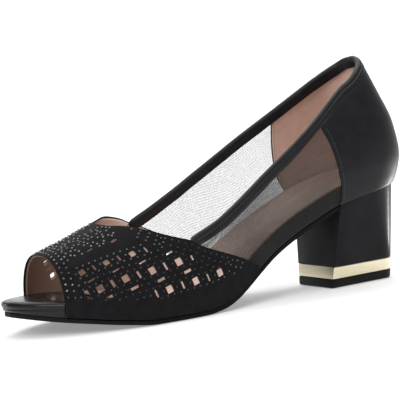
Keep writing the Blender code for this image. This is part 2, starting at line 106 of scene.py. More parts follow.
Sole = namedtuple("Sole", "s seat insole middle outer inner")
SOLE_ROWS = [
    Sole(0, 53.0, 10.0, 0.0, 27.0, 27.0),
    Sole(23, 49.3, 9.5, 0.0, 27.0, 27.0),
    Sole(46, 44.5, 9.0, 0.0, 26.8, 26.6),
    Sole(58, 39.8, 9.0, 0.2, 26.6, 26.0),
    Sole(75, 32.2, 9.0, 0.5, 26.6, 25.2),
    Sole(87, 25.6, 9.0, 0.8, 27.2, 25.2),
    Sole(97, 18.8, 9.4, 1.2, 28.8, 26.0),
    Sole(106, 12.6, 9.6, 1.6, 31.2, 27.4),
    Sole(116, 6.8, 9.0, 2.0, 34.4, 29.8),
    Sole(126, 3.4, 8.4, 4.0, 38.8, 31.0),
    Sole(137, 2.2, 8.2, 6.0, 43.0, 32.2),
    Sole(150, 2.2, 8.4, 8.0, 46.4, 33.4),
    Sole(165, 2.2, 9.0, 9.0, 47.6, 34.4),
    Sole(183, 4.2, 10.0, 8.0, 43.6, 34.6),
    Sole(198, 6.6, 9.6, 6.2, 38.2, 32.8),
    Sole(214, 9.3, 8.2, 4.6, 32.5, 28.4),
    Sole(TOE_TIP, 13.0, 5.8, 4.0, 27.0, 25.0),
]
Dome = namedtuple("Dome", "q height power")
DOME_ROWS = [
    Dome(0, 122.0, 2.4),
    Dome(32, 122.0, 2.4),
    Dome(60, 118.0, 2.4),
    Dome(85, 110.0, 2.4),
    Dome(103, 98.0, 2.4),
    Dome(118, 82.0, 2.4),
    Dome(130, 71.0, 2.35),
    Dome(140, 64.0, 2.3),
    Dome(152, 58.0, 2.25),
    Dome(172, 49.2, 2.25),
    Dome(190, 40.0, 2.35),
    Dome(PEEP_TOE, 31.0, 2.5),
]
Bulge = namedtuple("Bulge", "rise back side")
BULGE_ROWS = [
    Bulge(0, 0.0, 0.0),
    Bulge(6, 3.2, 1.0),
    Bulge(16, 5.8, 1.8),
    Bulge(33, 3.7, 0.6),
    Bulge(50, -2.2, -3.6),
    Bulge(65, -7.0, -8.4),
    Bulge(72, -8.6, -10.4),
]
BULGE_FADES_AT = 90.0
Collar = namedtuple("Collar", "q outer inner")
COLLAR_ROWS = [
    Collar(0, 122.0, 122.0),
    Collar(8, 120.2, 121.2),
    Collar(18, 116.2, 118.0),
    Collar(28, 110.2, 113.7),
    Collar(37, 104.2, 108.6),
    Collar(46, 97.3, 103.1),
    Collar(55, 90.0, 97.7),
    Collar(65, 82.6, 91.9),
    Collar(86, 68.1, 79.9),
    Collar(106, 55.0, 68.3),
    Collar(123, 45.8, 58.6),
    Collar(OUTER_VAMP_TOP, 39.2, 49.3),
    Collar(INNER_VAMP_TOP, 37.4, 47.0),
    Collar(152, 34.5, 43.4),
]
THROAT_ROWS = [
    Collar(OUTER_VAMP_TOP, 39.2, 45.2),
    Collar(INNER_VAMP_TOP, 40.7, 47.0),
    Collar(149, 42.3, 49.2),
    Collar(155, 44.7, 51.1),
    Collar(161, 47.2, 52.4),
    Collar(166, 49.1, 52.8),
    Collar(170, 49.8, 52.2),
    Collar(173.0, 50.0, 51.3),
    Collar(174.4, 50.3, 51.0),
    Collar(THROAT, 50.8, 50.8),
]
VAMP_ROWS = [
    Collar(99, 19.4, 19.4),
    Collar(108.5, 24.8, 26.6),
    Collar(120, 29.6, 34.6),
    Collar(133, 34.8, 41.6),
    Collar(OUTER_VAMP_TOP, 39.2, 45.1),
    Collar(INNER_VAMP_TOP, 42.0, 47.0),
]
VAMP_END = 100.0
Binding = namedtuple("Binding", "q width")
BINDING_ROWS = [
    Binding(-OUTER_VAMP_TOP, 4.6),
    Binding(-76, 4.5),
    Binding(-52, 3.6),
    Binding(-20, 3.8),
    Binding(0, 4.0),
    Binding(20, 4.2),
    Binding(100, 4.3),
    Binding(INNER_VAMP_TOP, 4.7),
]
CounterEdge = namedtuple("CounterEdge", "rise outer inner")
COUNTER_ROWS = [
    CounterEdge(0, 46.8, 46.4),
    CounterEdge(4.5, 45.6, 47.4),
    CounterEdge(10, 45.2, 50.0),
    CounterEdge(17.5, 45.7, 53.0),
    CounterEdge(30, 47.7, 55.3),
    CounterEdge(45, 51.9, 56.2),
    CounterEdge(58, 55.4, 56.7),
]


def track(rows, key, column):
    """A smooth curve through one column of a table, with no overshoot between its rows."""
    keys = [getattr(row, key) for row in rows]
    values = [getattr(row, column) for row in rows]
    steps = [b - a for a, b in zip(keys, keys[1:])]
    slopes = [(b - a) / step for a, b, step in zip(values, values[1:], steps)]
    tangents = [slopes[0]]
    for before, after in zip(slopes, slopes[1:]):
        tangents.append(2 * before * after / (before + after) if before * after > 0 else 0.0)
    tangents.append(slopes[-1])

    def value(at):
        at = min(max(at, keys[0]), keys[-1])
        i = min(bisect_right(keys, at), len(steps)) - 1
        t = (at - keys[i]) / steps[i]
        rise = values[i + 1] - values[i]
        start, end = tangents[i] * steps[i], tangents[i + 1] * steps[i]
        bend, twist = 3 * rise - 2 * start - end, start + end - 2 * rise
        return values[i] + t * start + t * t * bend + t**3 * twist

    return value


seat, insole_thickness, middle, outer_half, inner_half = (
    track(SOLE_ROWS, "s", column) for column in ("seat", "insole", "middle", "outer", "inner")
)
dome_height, dome_power = (track(DOME_ROWS, "q", column) for column in ("height", "power"))
back_bulge, side_bulge = (track(BULGE_ROWS, "rise", column) for column in ("back", "side"))
outer_collar, inner_collar = (track(COLLAR_ROWS, "q", column) for column in ("outer", "inner"))
outer_throat, inner_throat = (track(THROAT_ROWS, "q", column) for column in ("outer", "inner"))
outer_vamp, inner_vamp = (track(VAMP_ROWS, "q", column) for column in ("outer", "inner"))
outer_counter, inner_counter = (track(COUNTER_ROWS, "rise", column) for column in ("outer", "inner"))
binding_width = track(BINDING_ROWS, "q", "width")
print("seat at the heel", seat(0), "mm, at the ball", seat(150), "mm")

# %% [markdown]
# ## The last, as a surface
#
# One function gives the point on the outside of the finished upper at a girth station and a height over the
# seat. Panels, holes, studs and stitches are all placed with it, so they follow the same skin.

# %% The surface of the last
INSOLE_END = TOE_TIP - 0.4
SHIFT = Vector(
    (
        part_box("insole")[0].x / MM + INSOLE_END,
        (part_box("top_lift")[0].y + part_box("top_lift")[1].y) / 2 / MM,
        0.0,
    )
)


def to_frame(point):
    """From the last's millimetres to the frame's metres."""
    return (point + SHIFT) * MM


def steps_between(start, end, count):
    return [start + (end - start) * i / count for i in range(count + 1)]


def smooth_step(t):
    t = min(max(t, 0.0), 1.0)
    return t * t * (3 - 2 * t)


def half_width(side, s, inset=0.0):
    """Half width of the shoe's bottom at a station, round at the heel and at the toe."""
    base = (inner_half(s) if side > 0 else outer_half(s)) - inset
    if s > TOE_ROUND_FROM:
        t = min((s - TOE_ROUND_FROM) / (TOE_TIP - inset - TOE_ROUND_FROM), 1.0)
        base *= (1 - t**TOE_ROUNDNESS) ** (1 / TOE_ROUNDNESS)
    if s < HEEL_CENTRE:
        t = min((HEEL_CENTRE - s) / (HEEL_CENTRE - inset), 1.0)
        base *= (1 - t**HEEL_ROUNDNESS) ** (1 / HEEL_ROUNDNESS)
    return base


def foot_and_spine(q):
    """Where a girth station stands on the seat, and the point of the middle line its section leans to."""
    side, size = (1 if q >= 0 else -1), abs(q)
    if size >= HEEL_CENTRE:
        foot = Vector((-size, middle(size) + side * half_width(side, size)))
        return foot, Vector((-size, middle(size)))
    turn = math.pi / 2 * size / HEEL_CENTRE
    along = HEEL_CENTRE * math.cos(turn) ** (2 / HEEL_ROUNDNESS)
    across = half_width(side, HEEL_CENTRE) * math.sin(turn) ** (2 / HEEL_ROUNDNESS)
    return Vector((along - HEEL_CENTRE, side * across)), Vector((-HEEL_CENTRE, 0.0))


def form_point(q, rise):
    """Point on the outside of the finished upper, at a height over the seat."""
    foot, spine = foot_and_spine(q)
    size = abs(q)
    power = dome_power(size)
    reach = (1 - min(rise / dome_height(size), 1.0) ** power) ** (1 / power)
    out = foot - spine
    backness = smooth_step(1 - size / HEEL_CENTRE)
    sideness = smooth_step((BULGE_FADES_AT - size) / (BULGE_FADES_AT - HEEL_CENTRE))
    bulge = backness * back_bulge(rise) + (1 - backness) * sideness * side_bulge(rise)
    plan = spine + out * reach + out.normalized() * bulge
    return Vector((plan.x, plan.y, seat(-foot.x) + rise))


def form_normal(q, rise):
    """Outward direction of the form."""
    step = 0.3
    onward = form_point(q + step, rise) - form_point(q - step, rise)
    upward = form_point(q, rise + step) - form_point(q, max(rise - step, 0.0))
    return onward.cross(upward).normalized()


def seat_at(q):
    return seat(-foot_and_spine(q)[0].x)


def vamp_top(q):
    return INNER_VAMP_TOP if q > 0 else OUTER_VAMP_TOP


def top_rise(q):
    """Height over the seat of the upper's top edge: ridge, then throat, then collar."""
    ridge = dome_height(abs(q))
    if abs(q) >= THROAT:
        return ridge
    if abs(q) > vamp_top(q):
        top = inner_throat(q) if q > 0 else outer_throat(-q)
    else:
        top = inner_collar(q) if q > 0 else outer_collar(-q)
    return min(top - seat_at(q), ridge)


def vamp_rise(q):
    if abs(q) >= vamp_top(q):
        return top_rise(q)
    return (inner_vamp(q) if q > 0 else outer_vamp(-q)) - seat_at(q)


def lengths_along(path):
    lengths = [0.0]
    for a, b in zip(path, path[1:]):
        lengths.append(lengths[-1] + (b - a).length)
    return lengths


def at_length(path, lengths, wanted):
    wanted = min(max(wanted, 0.0), lengths[-1])
    i = min(bisect_right(lengths, wanted), len(path) - 1) - 1
    return path[i].lerp(path[i + 1], (wanted - lengths[i]) / max(lengths[i + 1] - lengths[i], 1e-9))


def column(station_of, bottom, top, rows, dense=96):
    """Evenly spaced points up the form between two heights over the seat. The station may lean."""
    turns = steps_between(0.0, math.pi / 2, dense)
    heights = [bottom + (top - bottom) * math.sin(turn) for turn in turns]
    path = [form_point(station_of(height), height) for height in heights]
    lengths = lengths_along(path)
    return [at_length(path, lengths, wanted) for wanted in steps_between(0.0, lengths[-1], rows)]


@lru_cache(maxsize=None)
def climb(q):
    """The line up the form at a girth station, from the seat to the ridge, and its lengths."""
    turns = steps_between(0.0, math.pi / 2, 160)
    path = [form_point(q, dome_height(abs(q)) * math.sin(turn)) for turn in turns]
    return path, lengths_along(path)


def on_form(q, climbed):
    """Point at a length climbed up the form."""
    return at_length(*climb(round(q, 2)), climbed)


def climbed_at(q, rise):
    """Length climbed to reach a height over the seat."""
    path, lengths = climb(round(q, 2))
    i = min(bisect_right([p.z for p in path], rise + path[0].z), len(path) - 1)
    return lengths[i]


def skin_frame(q, climbed, sink=0.0):
    """Place on the skin as a matrix: X up the form, Y round the girth, Z outwards, in millimetres."""
    step = 0.4
    upward = on_form(q, climbed + step) - on_form(q, climbed - step)
    onward = on_form(q + step, climbed) - on_form(q - step, climbed)
    normal = onward.cross(upward).normalized()
    upward.normalize()
    place = on_form(q, climbed) - normal * sink
    return Matrix.Translation(place) @ Matrix((upward, normal.cross(upward), normal)).transposed().to_4x4()


print("moved by", [round(x, 3) for x in SHIFT], "mm")

# %% [markdown]
# ## Tools for modelling
#
# A panel of leather starts as a flat grid, as a maker starts from a flat piece of leather. Its rows and columns
# are then pulled over the last, and modifiers give it depth, thickness and a soft edge. A closed body, such as
# the insole, is a grid that is rolled round and closed at both ends.

# %% Modelling helpers
SAME_PLACE, SAME_SEAM, SLIVER = 0.001 * MM, 0.02 * MM, 0.01 * MM
CORNER = math.radians(55)


def only(piece):
    """Makes one piece the only selected and the active one."""
    bpy.ops.object.select_all(action="DESELECT")
    piece.select_set(True)
    bpy.context.view_layer.objects.active = piece


def apply_modifier(piece, kind, **settings):
    only(piece)
    modifier = piece.modifiers.new(kind.lower(), kind)
    for key, value in settings.items():
        setattr(modifier, key, value)
    bpy.ops.object.modifier_apply(modifier=modifier.name)


def grid_piece(name, columns):
    """A grid primitive pulled over columns of points. Rising q and rising height face outwards."""
    across, along = len(columns) - 1, len(columns[0]) - 1
    bpy.ops.object.select_all(action="DESELECT")
    bpy.ops.mesh.primitive_grid_add(x_subdivisions=across, y_subdivisions=along, size=2.0)
    piece = bpy.context.object
    piece.name = name
    for vertex in piece.data.vertices:
        i = round((vertex.co.x + 1) / 2 * across)
        j = round((vertex.co.y + 1) / 2 * along)
        vertex.co = to_frame(columns[i][j])
    return piece


def join(name, pieces):
    bpy.ops.object.select_all(action="DESELECT")
    for piece in pieces:
        piece.select_set(True)
    bpy.context.view_layer.objects.active = pieces[0]
    if len(pieces) > 1:
        bpy.ops.object.join()
    joined = bpy.context.object
    joined.name = name
    joined.data.name = name
    return joined


def edit(piece, *operators):
    """Runs edit mode operators, given as (operator, settings), on the whole mesh."""
    only(piece)
    bpy.ops.object.mode_set(mode="EDIT")
    for operator, settings in operators:
        bpy.ops.mesh.select_all(action="SELECT")
        operator(**settings)
    bpy.ops.object.mode_set(mode="OBJECT")


def smooth(piece, degrees=40):
    only(piece)
    bpy.ops.object.shade_smooth_by_angle(angle=math.radians(degrees))


def soften(piece, width):
    """Rounds the sharp edges of a leather piece, in millimetres."""
    apply_modifier(piece, "BEVEL", width=width * MM, segments=2, limit_method="ANGLE", angle_limit=CORNER)


def panel(name, strips, depth, thickness, soft_edge):
    """A wall on the last: its outside lies depth inside the form. All sizes in millimetres."""
    piece = join(name, [grid_piece(name, columns) for columns in strips])
    edit(piece, (bpy.ops.mesh.remove_doubles, {"threshold": SAME_SEAM}))
    if depth:
        apply_modifier(piece, "DISPLACE", strength=-depth * MM, mid_level=0.0, direction="NORMAL")
    apply_modifier(piece, "SOLIDIFY", thickness=thickness * MM, offset=-1.0, use_even_offset=True)
    soften(piece, soft_edge)
    smooth(piece)
    return piece


def loft_piece(name, rings):
    """A closed body through rings of equal length."""
    count = len(rings[0])
    piece = grid_piece(name, [[ring[i % count] for ring in rings] for i in range(count + 1)])
    edit(
        piece,
        (bpy.ops.mesh.remove_doubles, {"threshold": SAME_PLACE}),
        (bpy.ops.mesh.fill_holes, {"sides": 0}),
        (bpy.ops.mesh.normals_make_consistent, {"inside": False}),
    )
    smooth(piece)
    return piece


def scatter(name, model, places):
    """One joined piece of copies of a model, each at a matrix in the last's millimetres."""
    copies = []
    scale = Matrix.Diagonal((MM, MM, MM, 1.0))
    for place in places:
        copy = model.copy()
        copy.data = model.data.copy()
        copy.data.transform(scale @ Matrix.Translation(SHIFT) @ place)
        bpy.context.collection.objects.link(copy)
        copies.append(copy)
    bpy.data.objects.remove(model)
    return join(name, copies)


def finish(piece, material, slot, *nodes):
    """Gives a piece its material and its body, and hides the frame nodes that it stands for."""
    piece.data.materials.clear()
    piece.data.materials.append(material)
    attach(piece, "root")
    if nodes:
        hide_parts(*nodes)
    piece.data.calc_loop_triangles()
    print(piece.name, len(piece.data.loop_triangles), "triangles")


# %% [markdown]
# ## Materials
#
# Every colour is written as the sRGB hex value that a colour picker shows, and one function makes it linear,
# which is what shaders work in. Patterns read object coordinates, which are metres here, so a noise of scale
# 1000 has a grain of about a millimetre.

# %% Material helpers
def colour(code):
    """Linear RGBA of an sRGB hex value."""
    parts = [int(code[i : i + 2], 16) / 255 for i in (1, 3, 5)]
    return tuple(c / 12.92 if c <= 0.04045 else ((c + 0.055) / 1.055) ** 2.4 for c in parts) + (1.0,)


def add_node(tree, kind, inputs=None, stops=(), **settings):
    """A node with its settings. An input is a value, or the output socket that feeds it.

    Stops are the (position, colour) pairs of a colour ramp.
    """
    node = tree.nodes.new(kind)
    for key, value in settings.items():
        setattr(node, key, value)
    for key, value in (inputs or {}).items():
        if isinstance(value, bpy.types.NodeSocket):
            tree.links.new(value, node.inputs[key])
        else:
            node.inputs[key].default_value = value
    if stops:
        elements = node.color_ramp.elements
        while len(elements) < len(stops):
            elements.new(0.5)
        for element, (position, value) in zip(elements, stops):
            element.position = position
            element.color = value
    return node


def new_material(name, **inputs):
    """A material with a Principled shader, whose plain values are given by name."""
    material = bpy.data.materials.new(name)
    material.use_nodes = True
    shader = material.node_tree.nodes["Principled BSDF"]
    for key, value in inputs.items():
        shader.inputs[key.replace("_", " ")].default_value = value
    return material, material.node_tree, shader


def per_mm(size):
    """Scale of a texture whose features are this many millimetres wide, in object metres."""
    return 1 / (size * MM)


def grey(value):
    return (value, value, value, 1.0)


# %% [markdown]
# ### Suede
#
# Suede is the flesh side of a hide, brushed to a short nap. It has no gloss at all, looks a little mottled where
# the nap lies differently, and lightens where it is seen edge-on, which the sheen gives.

# %% Suede
suede, tree, shader = new_material(
    "black_suede", Roughness=0.95, Sheen_Weight=0.08, Sheen_Roughness=0.45, Specular_IOR_Level=0.1
)
where = add_node(tree, "ShaderNodeTexCoord").outputs["Object"]
patches = add_node(tree, "ShaderNodeTexNoise", {"Vector": where, "Scale": per_mm(5.0), "Detail": 3.0})
nap = add_node(tree, "ShaderNodeTexNoise", {"Vector": where, "Scale": per_mm(0.5), "Detail": 4.0})
mottle = add_node(
    tree,
    "ShaderNodeMix",
    {"Factor": 0.45, "A": patches.outputs["Fac"], "B": nap.outputs["Fac"]},
    data_type="FLOAT",
)
stops = [(0.3, colour("#101012")), (0.72, colour("#1E1E20"))]
tint = add_node(tree, "ShaderNodeValToRGB", {"Fac": mottle.outputs["Result"]}, stops)
tree.links.new(tint.outputs["Color"], shader.inputs["Base Color"])
bump = add_node(
    tree, "ShaderNodeBump", {"Height": nap.outputs["Fac"], "Strength": 0.5, "Distance": 0.25 * MM}
)
tree.links.new(bump.outputs["Normal"], shader.inputs["Normal"])

# %% [markdown]
# ### Smooth leather
#
# Counter, binding and insole are finished calf leather: a fine grain of pebbles about a millimetre wide under a
# thin clear coat. The counter is satin, the insole's wrapped rim is polished more. All come from one function
# with a different gloss. The lining of the vamp is pale at the throat. Towards the toe it is a little more brown,
# and painted shade darkens it, most of all at its front edge.

# %% Leathers
def leather(name, dark, light, roughness, coat, grain, depth, tint_and_painted_shade=()):
    """Finished leather between two tones, with pebbles of a grain in millimetres.

    The last argument is a list of (station, colour) that multiplies the colour along the shoe: a little tone, and
    painted shade.
    """
    material, tree, shader = new_material(
        name, Coat_Weight=coat, Coat_Roughness=0.25, Specular_IOR_Level=0.28
    )
    where = add_node(tree, "ShaderNodeTexCoord").outputs["Object"]
    pebbles = add_node(
        tree,
        "ShaderNodeTexVoronoi",
        {"Vector": where, "Scale": per_mm(grain), "Randomness": 0.9},
        feature="SMOOTH_F1",
    )
    cloud = add_node(tree, "ShaderNodeTexNoise", {"Vector": where, "Scale": per_mm(7.0), "Detail": 4.0})
    stops = [(0.35, colour(dark)), (0.7, colour(light))]
    tint = add_node(tree, "ShaderNodeValToRGB", {"Fac": cloud.outputs["Fac"]}, stops)
    # Painted shade along the shoe: the tone is multiplied by a ramp over stations, with a slight real tint.
    if tint_and_painted_shade:
        first, last = tint_and_painted_shade[0][0], tint_and_painted_shade[-1][0]
        start, end = [to_frame(Vector((-s, 0, 0))).x for s in (first, last)]
        along = add_node(tree, "ShaderNodeSeparateXYZ", {"Vector": where}).outputs["X"]
        share = add_node(tree, "ShaderNodeMapRange", {"Value": along, "From Min": start, "From Max": end})
        stops = [((s - first) / (last - first), colour(code)) for s, code in tint_and_painted_shade]
        shade = add_node(tree, "ShaderNodeValToRGB", {"Fac": share.outputs["Result"]}, stops)
        both = {"Fac": 1.0, "Color1": tint.outputs["Color"], "Color2": shade.outputs["Color"]}
        tint = add_node(tree, "ShaderNodeMixRGB", both, blend_type="MULTIPLY")
    tree.links.new(tint.outputs["Color"], shader.inputs["Base Color"])
    stops = [(0.3, grey(roughness - 0.05)), (0.75, grey(roughness + 0.06))]
    gloss = add_node(tree, "ShaderNodeValToRGB", {"Fac": cloud.outputs["Fac"]}, stops)
    tree.links.new(gloss.outputs["Color"], shader.inputs["Roughness"])
    bump = add_node(
        tree,
        "ShaderNodeBump",
        {"Height": pebbles.outputs["Distance"], "Strength": depth, "Distance": 0.12 * MM},
    )
    tree.links.new(bump.outputs["Normal"], shader.inputs["Normal"])
    return material


satin_leather = leather("satin_black_calf", "#0F0F13", "#17171C", 0.45, 0.05, 0.9, 0.35)
binding_leather = leather("folded_black_calf", "#131316", "#1A1A1E", 0.42, 0.06, 0.8, 0.3)
rim_leather = leather("polished_black_calf", "#0A090A", "#111012", 0.27, 0.05, 0.8, 0.2)
lining_leather = leather("beige_lining_leather", "#D8B8A8", "#E2C4B5", 0.55, 0.0, 1.1, 0.3)
# Painted shade in the vamp lining: darker towards the open toe, darkest at its front edge; a little more brown there
# too.
TOE_TINT_AND_PAINTED_SHADE = [
    (PEEP_TOE - 1.0, "#504640"),
    (PEEP_TOE - 2.0, "#8F817A"),
    (172.0, "#D3C5BD"),
    (150.0, "#FFFFFF"),
]
vamp_lining_leather = leather("beige_vamp_lining", "#F2DFD4", "#F9E8DE", 0.55, 0.0, 1.1, 0.3, TOE_TINT_AND_PAINTED_SHADE)
sock_leather = leather("beige_sock_leather", "#DDC0B1", "#E6CDBF", 0.5, 0.0, 1.2, 0.35)

# %% [markdown]
# ### Lacquer, gold, rubber and thread
#
# The heel is moulded and sprayed with gloss lacquer, so a hard clear coat lies over black. The band is brushed
# metal: fine lines run round the heel, drawn here about half a millimetre wide so that they show. The lift and
# the outsole are rubber. The studs are jet stones that throw back the light from a few facets each. Net and seams
# are spun thread.

# %% Other finishes
lacquer, tree, shader = new_material(
    "gloss_black_lacquer", Roughness=0.3, Coat_Weight=0.06, Coat_Roughness=0.03, Specular_IOR_Level=0.04
)
where = add_node(tree, "ShaderNodeTexCoord").outputs["Object"]
flow = add_node(tree, "ShaderNodeTexNoise", {"Vector": where, "Scale": per_mm(12.0), "Detail": 2.0})
stops = [(0.3, colour("#1D1D1F")), (0.7, colour("#232326"))]
tint = add_node(tree, "ShaderNodeValToRGB", {"Fac": flow.outputs["Fac"]}, stops)
tree.links.new(tint.outputs["Color"], shader.inputs["Base Color"])
bump = add_node(
    tree, "ShaderNodeBump", {"Height": flow.outputs["Fac"], "Strength": 0.04, "Distance": 0.2 * MM}
)
tree.links.new(bump.outputs["Normal"], shader.inputs["Normal"])

gold, tree, shader = new_material("brushed_pale_gold", Metallic=1.0)
where = add_node(tree, "ShaderNodeTexCoord").outputs["Object"]
squeeze = add_node(
    tree, "ShaderNodeMapping", {"Vector": where, "Scale": (0.03, 0.03, 1.0)}, vector_type="POINT"
)
lines = add_node(
    tree, "ShaderNodeTexNoise", {"Vector": squeeze.outputs["Vector"], "Scale": per_mm(0.5), "Detail": 3.0}
)
stops = [(0.3, colour("#EADFBE")), (0.7, colour("#F4ECD4"))]
tint = add_node(tree, "ShaderNodeValToRGB", {"Fac": lines.outputs["Fac"]}, stops)
tree.links.new(tint.outputs["Color"], shader.inputs["Base Color"])
stops = [(0.3, grey(0.3)), (0.7, grey(0.42))]
gloss = add_node(tree, "ShaderNodeValToRGB", {"Fac": lines.outputs["Fac"]}, stops)
tree.links.new(gloss.outputs["Color"], shader.inputs["Roughness"])


def rubber(name, dark, light, roughness):
    """Moulded rubber with the faint grit of its mould."""
    material, tree, shader = new_material(name, Roughness=roughness, Specular_IOR_Level=0.12)
    where = add_node(tree, "ShaderNodeTexCoord").outputs["Object"]
    grit = add_node(tree, "ShaderNodeTexNoise", {"Vector": where, "Scale": per_mm(0.6), "Detail": 3.0})
    stops = [(0.3, colour(dark)), (0.7, colour(light))]
    tint = add_node(tree, "ShaderNodeValToRGB", {"Fac": grit.outputs["Fac"]}, stops)
    tree.links.new(tint.outputs["Color"], shader.inputs["Base Color"])
    bump = add_node(
        tree, "ShaderNodeBump", {"Height": grit.outputs["Fac"], "Strength": 0.3, "Distance": 0.1 * MM}
    )
    tree.links.new(bump.outputs["Normal"], shader.inputs["Normal"])
    return material


sole_rubber = rubber("black_sole_rubber", "#0E0E0E", "#161616", 0.6)
lift_rubber = rubber("hard_black_lift_rubber", "#0E0E0E", "#151515", 0.45)
jet_stone, tree, shader = new_material("jet_stone", Metallic=0.8, Coat_Weight=0.3)
where = add_node(tree, "ShaderNodeTexCoord").outputs["Object"]
cloud = add_node(tree, "ShaderNodeTexNoise", {"Vector": where, "Scale": per_mm(1.2), "Detail": 2.0})
stops = [(0.3, colour("#464546")), (0.7, colour("#5A595A"))]
tint = add_node(tree, "ShaderNodeValToRGB", {"Fac": cloud.outputs["Fac"]}, stops)
tree.links.new(tint.outputs["Color"], shader.inputs["Base Color"])
stops = [(0.3, grey(0.21)), (0.7, grey(0.29))]
gloss = add_node(tree, "ShaderNodeValToRGB", {"Fac": cloud.outputs["Fac"]}, stops)
tree.links.new(gloss.outputs["Color"], shader.inputs["Roughness"])


def thread(name, dark, light, roughness, sheen):
    """Spun thread. Its fibres are drawn a third of a millimetre wide, so that they show."""
    material, tree, shader = new_material(name, Roughness=roughness, Sheen_Weight=sheen)
    where = add_node(tree, "ShaderNodeTexCoord").outputs["Object"]
    fibres = add_node(tree, "ShaderNodeTexNoise", {"Vector": where, "Scale": per_mm(0.33), "Detail": 3.0})
    stops = [(0.3, colour(dark)), (0.7, colour(light))]
    tint = add_node(tree, "ShaderNodeValToRGB", {"Fac": fibres.outputs["Fac"]}, stops)
    tree.links.new(tint.outputs["Color"], shader.inputs["Base Color"])
    bump = add_node(
        tree, "ShaderNodeBump", {"Height": fibres.outputs["Fac"], "Strength": 0.3, "Distance": 0.05 * MM}
    )
    tree.links.new(bump.outputs["Normal"], shader.inputs["Normal"])
    return material


black_thread = thread("black_net_thread", "#171515", "#211F1F", 0.7, 0.1)
seam_thread = thread("dark_seam_thread", "#252426", "#333234", 0.55, 0.2)
lining_thread = thread("brown_lining_thread", "#735447", "#896656", 0.6, 0.2)
print(len(bpy.data.materials), "materials")

# %% [markdown]
# ## Vamp
#
# The vamp is the front of the upper: thin suede outside, thicker beige leather inside. Both are cut from flat
# pieces and pulled over the last, one side at a time, and joined along the ridge. In front it stops short, so that
# the toes show, and behind it drops in a point at the throat.

# %% Vamp and its lining
PANEL, LINING, LINING_DEPTH = 1.2, 0.6, 1.25
SUEDE, BACKING = 0.6, 1.1
VAMP_INSIDE = SUEDE + 0.05 + BACKING
VAMP_COLUMN_ROWS = 46


def vamp_columns(side, front, trim):
    """Columns of the vamp on one side, in rising order of q. Trim is cut off its throat and back edge.

    Behind the throat the columns fan out, so that their tops stand evenly along the edge.
    """
    ends = [(s, s) for s in steps_between(front, THROAT, 36)]
    sizes = [THROAT - (THROAT - VAMP_END) * t**3 for t in steps_between(0.0, 1.0, 400)]
    edge = [form_point(side * size, vamp_rise(side * size) - trim) for size in sizes]
    lengths = lengths_along(edge)
    for share in steps_between(0.0, 1.0, 80)[1:]:
        i = min(bisect_right(lengths, share * lengths[-1]), len(sizes) - 1)
        ends.append((THROAT + (VAMP_END - THROAT) * share, sizes[i]))
    columns = []
    for bottom, top in ends:
        height = vamp_rise(side * top) - (trim if top < THROAT else 0.0)
        lean = (top - bottom) / height
        station = lambda rise, bottom=bottom, lean=lean: side * (bottom + lean * rise)
        columns.append(column(station, SEAT_CLEARANCE, height, VAMP_COLUMN_ROWS))
    return columns if side < 0 else columns[::-1]


vamp = panel("vamp_suede", [vamp_columns(side, PEEP_TOE, 0.0) for side in (-1, 1)], 0.0, SUEDE, 0.25)
vamp_lining = panel(
    "vamp_lining",
    [vamp_columns(side, PEEP_TOE - 1.0, 0.5) for side in (-1, 1)],
    SUEDE + 0.05,
    BACKING,
    0.25,
)

# %% [markdown]
# ### The cut pattern
#
# The holes lie on a slanting lattice: squares where its lines cross, short slots half-way between them. Its rows
# follow the sole's line and then level out. Two short tables give that curve, and each hole is named by its
# place along a row and its row. Half-way between two rows is 0.5. A box through both leathers cuts each hole, and
# the slivers that a cut can leave are dissolved. On the inner side the pattern sits a little higher and has fewer
# slots.

# %% Pattern
RowLine = namedtuple("RowLine", "s climbed")
ROW_LINE = track(
    [
        RowLine(110, 29.6),
        RowLine(126, 29.4),
        RowLine(141.5, 28.6),
        RowLine(157.5, 26.7),
        RowLine(172, 24.2),
        RowLine(186, 19.4),
        RowLine(199, 13.1),
        RowLine(211, 6.5),
    ],
    "s",
    "climbed",
)
RowPlace = namedtuple("RowPlace", "place s")
ROW_PLACE = track(
    [
        RowPlace(-1, 211.5),
        RowPlace(0, 199.0),
        RowPlace(1, 186.0),
        RowPlace(2, 172.0),
        RowPlace(3, 157.1),
        RowPlace(4, 141.5),
        RowPlace(5, 126.0),
        RowPlace(6, 111.0),
    ],
    "place",
    "s",
)
ROW_PITCH, ROW_LEAN = 12.0, 0.48


def lattice(place, row):
    """Station and climbed length of a lattice place. Row 1 is the middle row of squares."""
    s = ROW_PLACE(place + ROW_LEAN * row)
    return s, ROW_LINE(s) + ROW_PITCH * (1 - row)


Hole = namedtuple("Hole", "row high wide places")
HOLES = [
    Hole(0, 3.3, 3.3, (0, 1, 2)),
    Hole(1, 3.75, 3.75, (0, 1, 2, 3)),
    Hole(2, 3.75, 3.75, (2, 3, 4)),
    Hole(0, 3.6, 1.15, (0.5, 1.5, 2.5)),
    Hole(1, 4.2, 1.7, (0.5,)),
    Hole(1, 4.2, 1.4, (1.5, 2.5)),
    Hole(1, 2.6, 1.3, (3.5,)),
    Hole(2, 4.0, 1.25, (1.5, 2.5, 3.5)),
    Hole(-1, 1.9, 3.8, (1.17, 2.12)),
    Hole(0.5, 0.95, 4.2, (0, 1, 2, 3)),
]
OUTER_HOLES = HOLES + [Hole(1, 4.6, 2.0, (-0.5,)), Hole(1.5, 1.4, 4.5, (0, 1, 2, 3))]
INNER_MOVE = (-3.4, 3.2)
HOLE_TURN = math.radians(17)
CUT_ABOVE, CUT_BELOW = 2.0, 5.0

